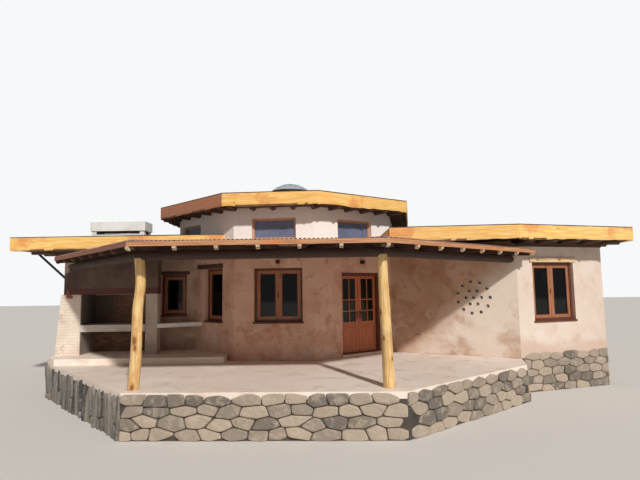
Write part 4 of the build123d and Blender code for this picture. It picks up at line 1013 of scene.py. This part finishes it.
# The wall from one plan point to another, then the window's middle, width, sill, head and lights
WINDOWS = (
    (HALL[1], HALL[2], 1117, 1210, 930, 2260, 2),
    (*TALL_WALL, TALL_MIDDLE, 780, 930, 2290, 1),
    (HALL[5], HALL[6], math.dist(HALL[5], HALL[6]) / 2, 1210, 930, 2260, 2),
    (*SMALL_WALL, SMALL_MIDDLE, 690, 1070, 2170, 1),
    (*RIGHT_WING[0:2], 1095, 1270, 870, 2310, 2),
    (*RIGHT_WING[1:3], 2800, 1270, 870, 2310, 2),
    (*RIGHT_WING[2:4], 3000, 1270, 870, 2310, 2),
    ((0, 2944), (-1, 2944), 3700, 1210, 930, 2260, 2),
    (*LEFT_WING[1:3], 2400, 690, 1070, 2170, 1),
)
sash_faces, beads, sills, handles, high_trim, lintels = (Shape() for _ in range(6))
for a, b, middle, width, sill, head, lights in WINDOWS:
    face = Face(a, b)
    inner_w, inner_h = width - 2 * FRAME_W, head - sill - 2 * FRAME_W
    light_w = inner_w / lights
    bottom = sill + FRAME_W
    inset = SASH_W - BEAD_LAP
    for k in range(lights):
        left = middle - inner_w / 2 + k * light_w
        surround(sash_faces, face, left + SASH_PLAY, bottom + SASH_PLAY, light_w - 2 * SASH_PLAY,
                 inner_h - 2 * SASH_PLAY, SASH_W - 2 * SASH_PLAY,
                 SASH_FACE - SASH_PROUD, SASH_PLATE, 0.005)
        surround(beads, face, left + inset, bottom + inset, light_w - 2 * inset, inner_h - 2 * inset,
                 BEAD_W, GLASS_FACE - BEAD_PROUD, BEAD_T, 0.004)
    if lights == 2:
        face.bar(sash_faces, middle - MULLION_W / 2, MULLION_W, SASH_FACE - MULLION_PROUD, MULLION_T,
                 bottom + MULLION_PLAY, inner_h - 2 * MULLION_PLAY, 0.004)
        face.bar(handles, middle + HANDLE_X, HANDLE_W, SASH_FACE - HANDLE_PROUD, HANDLE_T,
                 (sill + head - HANDLE_H) / 2, HANDLE_H, 0.004)
    face.bar(sills, middle - width / 2 - SILL_EAR, width + 2 * SILL_EAR, -SILL_PROUD,
             SILL_PROUD + WINDOW_REVEAL, sill - SILL_DROP, SILL_H, 0.006)
sash_faces.finish("sash_faces", "red_wood", "sash_wood")
beads.finish("glazing_beads", "red_wood")
sills.finish("window_sills", "red_wood")
handles.finish("window_handles", "dark_metal")

# Each high window's middle, width and sill, on the eight sides of the hall
HIGH_WINDOWS = ((590, 970, 3110), (1015, 1110, 2980), (1320, 1140, 2980), (1300, 1600, 3110),
                (1380, 1600, 3110), (1380, 1110, 2980), (1380, 1600, 3110), (1380, 1600, 3110))
HIGH_HEAD = 3520
HIGH_FRAME_W, HIGH_BEAD_PROUD, HIGH_BEAD_T = 44, 22, 20
HIGH_SILL_EAR, HIGH_SILL_DROP, HIGH_SILL_H = 20, 26, 32
for (a, b), (middle, width, sill) in zip(pairs(HALL, closed=True), HIGH_WINDOWS):
    face = Face(a, b)
    face.bar(high_trim, middle - width / 2 - HIGH_SILL_EAR, width + 2 * HIGH_SILL_EAR, -HIGH_SILL_EAR,
             HIGH_SILL_EAR + WINDOW_REVEAL, sill - HIGH_SILL_DROP, HIGH_SILL_H, 0.005)
    surround(high_trim, face, middle - width / 2 + HIGH_FRAME_W, sill + HIGH_FRAME_W,
             width - 2 * HIGH_FRAME_W, HIGH_HEAD - sill - 2 * HIGH_FRAME_W, BEAD_W,
             GLASS_FACE - HIGH_BEAD_PROUD, HIGH_BEAD_T)
high_trim.finish("high_window_trim", "red_wood", "tan_wood")

# Each lintel's wall, then its left side, width, front depth, thickness, underside and height
LINTELS = ((TALL_WALL, TALL_MIDDLE - 760, 1170, -28, 60, 2292, 120),
           (SMALL_WALL, SMALL_MIDDLE - 430, 860, -18, 50, 2172, 90))
for wall, *sizes in LINTELS:
    Face(*wall).bar(lintels, *sizes, 0.008)
lintels.finish("timber_lintels", "log", "old_wood")

DOOR_X, DOOR_W, DOOR_H, DOOR_REVEAL = 846, 1334, 2090, 100
THRESHOLD = 50
TRIM_LAP, TRIM_W, TRIM_HEAD_H, TRIM_PROUD, TRIM_T = 6, 68, 98, 14, 16
LEAF_FACE, LEAF_MIDDLE = 165, 304
PLANKS, PLANKS_LEFT, PLANK_W, PLANK_STEP, PLANK_H, PLANK_Z = 4, -196, 96, 98.5, 486, 230
RAIL_W, RAIL_H, RAIL_Z, RAIL_T = 580, 46, 80, 20
PLATE_W, PLATE_H, PLATE_Z, PLATE_T = 36, 210, 930, 6
LOCK_X, LOCK_H, STEM_L = 50, 1080, 0.045
door_face = Face(HALL[2], HALL[3])
door_middle = DOOR_X + DOOR_W / 2
door_trim = Shape()
trim_top = THRESHOLD + DOOR_H + TRIM_LAP - TRIM_HEAD_H
door_face.bar(door_trim, DOOR_X - TRIM_LAP, DOOR_W + 2 * TRIM_LAP, DOOR_REVEAL - TRIM_PROUD, TRIM_T,
              trim_top, TRIM_HEAD_H, 0.006)
for x in (DOOR_X - TRIM_LAP, DOOR_X + DOOR_W + TRIM_LAP - TRIM_W):
    door_face.bar(door_trim, x, TRIM_W, DOOR_REVEAL - TRIM_PROUD, TRIM_T, THRESHOLD + 2,
                  trim_top - THRESHOLD - 2, 0.006)
door_trim.finish("door_architrave", "red_wood")
for sign, body in ((-1, "left_leaf"), (1, "right_leaf")):
    planks, fittings = Shape(), Shape()
    centre = door_middle + sign * LEAF_MIDDLE
    for k in range(PLANKS):
        door_face.bar(planks, centre + PLANKS_LEFT + k * PLANK_STEP, PLANK_W, LEAF_FACE - 2, 14,
                      PLANK_Z, PLANK_H, 0.004)
    door_face.bar(planks, centre - RAIL_W / 2, RAIL_W, LEAF_FACE - RAIL_T, RAIL_T, RAIL_Z, RAIL_H, 0.008)
    planks.finish(body + "_boards", "red_wood", "door_wood", body=body)
    lock_x = door_middle + sign * LOCK_X
    door_face.bar(fittings, lock_x - PLATE_W / 2, PLATE_W, LEAF_FACE - PLATE_T, PLATE_T,
                  PLATE_Z, PLATE_H, 0.002)
    stem = door_face.point(lock_x, LEAF_FACE - 4, LOCK_H)
    lever = stem + door_face.out * STEM_L
    fittings.tube([stem, lever], [0.010, 0.010])
    fittings.tube([lever + door_face.along * (sign * reach) for reach in (-0.008, 0.06, 0.12)],
                  [0.009, 0.0085, 0.006])
    fittings.finish(body + "_handle", "dark_metal", body=body, smooth=True)

# Porch: rafter ends hooked under the eave board, hip caps

RAFTER_W, RAFTER_STEP, END_LAP = 60, 720, 2
EAVE_H = 2600
END_PROFILE = ((62, -95), (62, -175), (30, -172), (8, -160), (-6, -142), (-13, -120), (-14, -95))
# Each hip's corner, its heading and its length in metres
HIPS = ((EAVE[1], (0.415, 0.910), 4.2), (EAVE[2], (-0.346, 0.938), 3.98))
HIP_LIFT, HIP_START, HIP_FACE = 0.004, 0.05, 100
FLAP_W, FLAP_FALL, FLAP_T = 0.085, 0.008, 0.004
RIDGE_LIFT, RIDGE_R = 0.006, 0.014
rafter_ends, shaded_ends, hip_caps = Shape(), Shape(), Shape()


def rafter_end(shape, face, x):
    """The rounded end of a rafter."""
    shape.tone = rng.random()
    shape.rings([[face.point(x + side, depth, EAVE_H + high) for depth, high in END_PROFILE]
                 for side in (-RAFTER_W / 2 - END_LAP, RAFTER_W / 2 + END_LAP)])


# Ends on the eave's left facet go into shaded_ends, in the darker old wood as painted shade; the others take
# pale end grain.
for k, (a, b) in enumerate(pairs(EAVE)):
    span = math.dist(a, b)
    count = round((span - 2 * RAFTER_W) / RAFTER_STEP) + 1
    step = (span - 3 * RAFTER_W) / (count - 1)
    for i in range(1 if k > 0 else 0, count - 1 if k < 2 else count):
        rafter_end(shaded_ends if k == 0 else rafter_ends, Face(a, b), 1.5 * RAFTER_W + i * step)
for (x, y), (hx, hy), _ in HIPS:
    side, ahead = hy * HIP_FACE, hx * HIP_FACE
    rafter_end(rafter_ends, Face((x - side, y + ahead), (x + side, y - ahead)), HIP_FACE)
rafter_ends.finish("rafter_ends", "log", "end_grain")
shaded_ends.finish("shaded_rafter_ends", "log", "old_wood")
for corner, (hx, hy), reach in HIPS:
    run = Vector((hx, hy, hy * PORCH_SLOPE))
    start = at(corner, EAVE_Z + HIP_LIFT) + run * HIP_START
    for sign in (-1, 1):
        flap = rightward(run) * (FLAP_W * sign) - up(FLAP_FALL)
        hip_caps.bar(start, run * reach, flap, up(FLAP_T), 0.001)
    ridge = start + up(RIDGE_LIFT)
    hip_caps.tube([ridge, ridge + run * reach], [RIDGE_R, RIDGE_R], 10)
hip_caps.finish("hip_caps", "sheet_metal")

# Flashing from the hall's front walls down over the sheet's upper edge, and ledger boards under it:
# widths and steps in plan in millimetres, heights and thicknesses in metres

FLASHED = (LEFT_RETURNS[1], HALL[1], HALL[2], (2440, -2140))
FLASHING_W, FLASHING_T, UPSTAND, LIFT = 200, 0.004, 0.07, 0.008
FLASHING_STEP = 100
LEDGER_Z, LEDGER_H, LEDGER_T = 3.47, 0.115, 0.03
flashing, ledgers = Shape(), Shape()


def heading(a, b):
    """Unit vector in plan from a to b."""
    span = math.dist(a, b)
    return (b[0] - a[0]) / span, (b[1] - a[1]) / span


def sheet_top(x, y):
    """Height of the porch sheet's crests over a plan point."""
    back = []
    for a, b in pairs(EAVE):
        ux, uy = heading(a, b)
        back.append((y - a[1]) * ux - (x - a[0]) * uy)
    return EAVE_Z + min(back) / 1000 * PORCH_SLOPE


drip = []
runs = [heading(a, b) for a, b in pairs(FLASHED)]
for (x, y), before, after in zip(FLASHED, runs[:1] + runs, runs + runs[-1:]):
    spread = FLASHING_W / (1 + before[0] * after[0] + before[1] * after[1])
    drip.append((x + (before[1] + after[1]) * spread, y - (before[0] + after[0]) * spread))
sections = []
for k, (wall, free) in enumerate(zip(pairs(FLASHED), pairs(drip))):
    steps = round(math.dist(*wall) / FLASHING_STEP)
    for i in range(steps + (k == len(runs) - 1)):
        lime_and_painted_light, lower = [(p[0] + (q[0] - p[0]) * i / steps, p[1] + (q[1] - p[1]) * i / steps)
                        for p, q in (wall, free)]
        top, edge = at(lime_and_painted_light, sheet_top(*lime_and_painted_light) + UPSTAND), at(lower, sheet_top(*lower) + LIFT)
        sections.append((edge, edge + up(FLASHING_T), top + up(FLASHING_T), top))
flashing.rings(sections)
flashing.finish("sheet_flashing", "sheet_metal")
# The ledger boards, in the dark wood, also stand as painted shade on the wall seen between the rafters.
for a, b in pairs(FLASHED):
    board_along(ledgers, a, b, LEDGER_Z, LEDGER_H, LEDGER_T)
ledgers.finish("ledger_boards", "log", "beam_wood")

# Bottles in the diagonal wall: (radius in metres, depth in millimetres) from the round end inwards

BOTTLE_PROFILE = ((0.001, 30), (0.010, 28), (0.021, 18), (0.030, 6), (0.035, 3), (0.039, 7), (0.0415, 20),
                  (0.0415, 200), (0.034, 235), (0.016, 262), (0.0145, 299))
COLLAR_PROFILE = ((0.0405, 6), (0.042, -2), (0.048, -6), (0.056, -3), (0.062, 3))
ROSETTE = (2215, 1460)
BOTTLE_RINGS = ((6, 190), (11, 400))
BOTTLE_SIDES = 24
bottle_face = Face(HALL[3], RIGHT_WING[0])
bottles, collars = Shape(), Shape()
places = [ROSETTE]
for count, radius in BOTTLE_RINGS:
    places += [(ROSETTE[0] + radius * math.cos(t), ROSETTE[1] + radius * math.sin(t)) for t in turn(count)]
for x, height in places:
    for shape, profile in ((bottles, BOTTLE_PROFILE), (collars, COLLAR_PROFILE)):
        rings = [[bottle_face.point(x, depth, height)
                  + bottle_face.along * (radius * math.cos(t)) + up(radius * math.sin(t))
                  for t in turn(BOTTLE_SIDES)] for radius, depth in profile]
        shape.rings(rings, close_start=shape is bottles, close_end=shape is bottles)
bottles.finish("bottles", "bottle_glass", smooth=True, replaces=("wall_bottles",))
collars.finish("bottle_collars", "clay_plaster", "bottle_plaster", smooth=True)

# Grill: a brick lining behind the fire and in the niche under it, and a corbel on the left pier

BRICK_L, BRICK_H, JOINT = 230, 62, 11
LINING_W = 1640
LINING_ZONES = ((902, 1640), (152, 728))
CORBEL_X, CORBEL_Z, CORBEL_STEPS = 256, 1582, (150, 115, 80, 45)
lining, corbel = Shape(), Shape()
grill_back = Face((-5190, -2000), (-3550, -2000))
for zone_bottom, zone_top in LINING_ZONES:
    lining.tone = 0
    lining.bar(grill_back.point(2, -7, zone_bottom), grill_back.along * (LINING_W / 1000 - 0.004),
               grill_back.out * -0.01, up((zone_top - zone_bottom) / 1000), 0.001)
    z, course = zone_bottom + 4, 0
    while z + BRICK_H < zone_top:
        x = -BRICK_L / 2 if course % 2 else 0
        while x < LINING_W:
            left, right = max(x, 0) + JOINT / 2, min(x + BRICK_L, LINING_W) - JOINT / 2
            if right - left > 30:
                grill_back.bar(lining, left, right - left, -rng.uniform(11, 16), 14, z, BRICK_H, 0.005)
            x += BRICK_L
        z += BRICK_H + JOINT
        course += 1
lining.finish("fire_back_bricks", "grill_masonry", "sooty_brick")
pier_face = Face((-5830, -2800), (-5190, -2800))
for k, wide in enumerate(CORBEL_STEPS):
    pier_face.bar(corbel, CORBEL_X, wide, -22, 36, CORBEL_Z + k * BRICK_H, 60, 0.006)
corbel.finish("brick_corbel", "grill_masonry", "fired_clay")

# Spark guard: a mesh of thin bars in the gap under the chimney's cap

GUARD_INSET, GUARD_BAR, GUARD_STEP = 0.03, 0.007, 0.028
GUARD_RAILS = (0.0, 0.026, 0.054, 0.082)
GUARD_H, CAP_GAP = 0.089, 0.09
guard = Shape()
(x0, y0, _), (x1, y1, gap_top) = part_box("chimney")
x0, y0, x1, y1 = x0 + GUARD_INSET, y0 + GUARD_INSET, x1 - GUARD_INSET, y1 - GUARD_INSET
flue_corners = [Vector((x, y, gap_top - CAP_GAP)) for x, y in ((x0, y0), (x1, y0), (x1, y1), (x0, y1))]
for start, end in pairs(flue_corners, closed=True):
    along = (end - start).normalized()
    inward = -rightward(along) * GUARD_BAR
    for height in GUARD_RAILS:
        guard.bar(start + up(height), end - start, inward, up(GUARD_BAR), 0.001)
    for k in range(1, round((end - start).length / GUARD_STEP)):
        guard.bar(start + along * (k * GUARD_STEP), along * GUARD_BAR, inward, up(GUARD_H), 0.001)
guard.finish("spark_guard", "dark_metal")
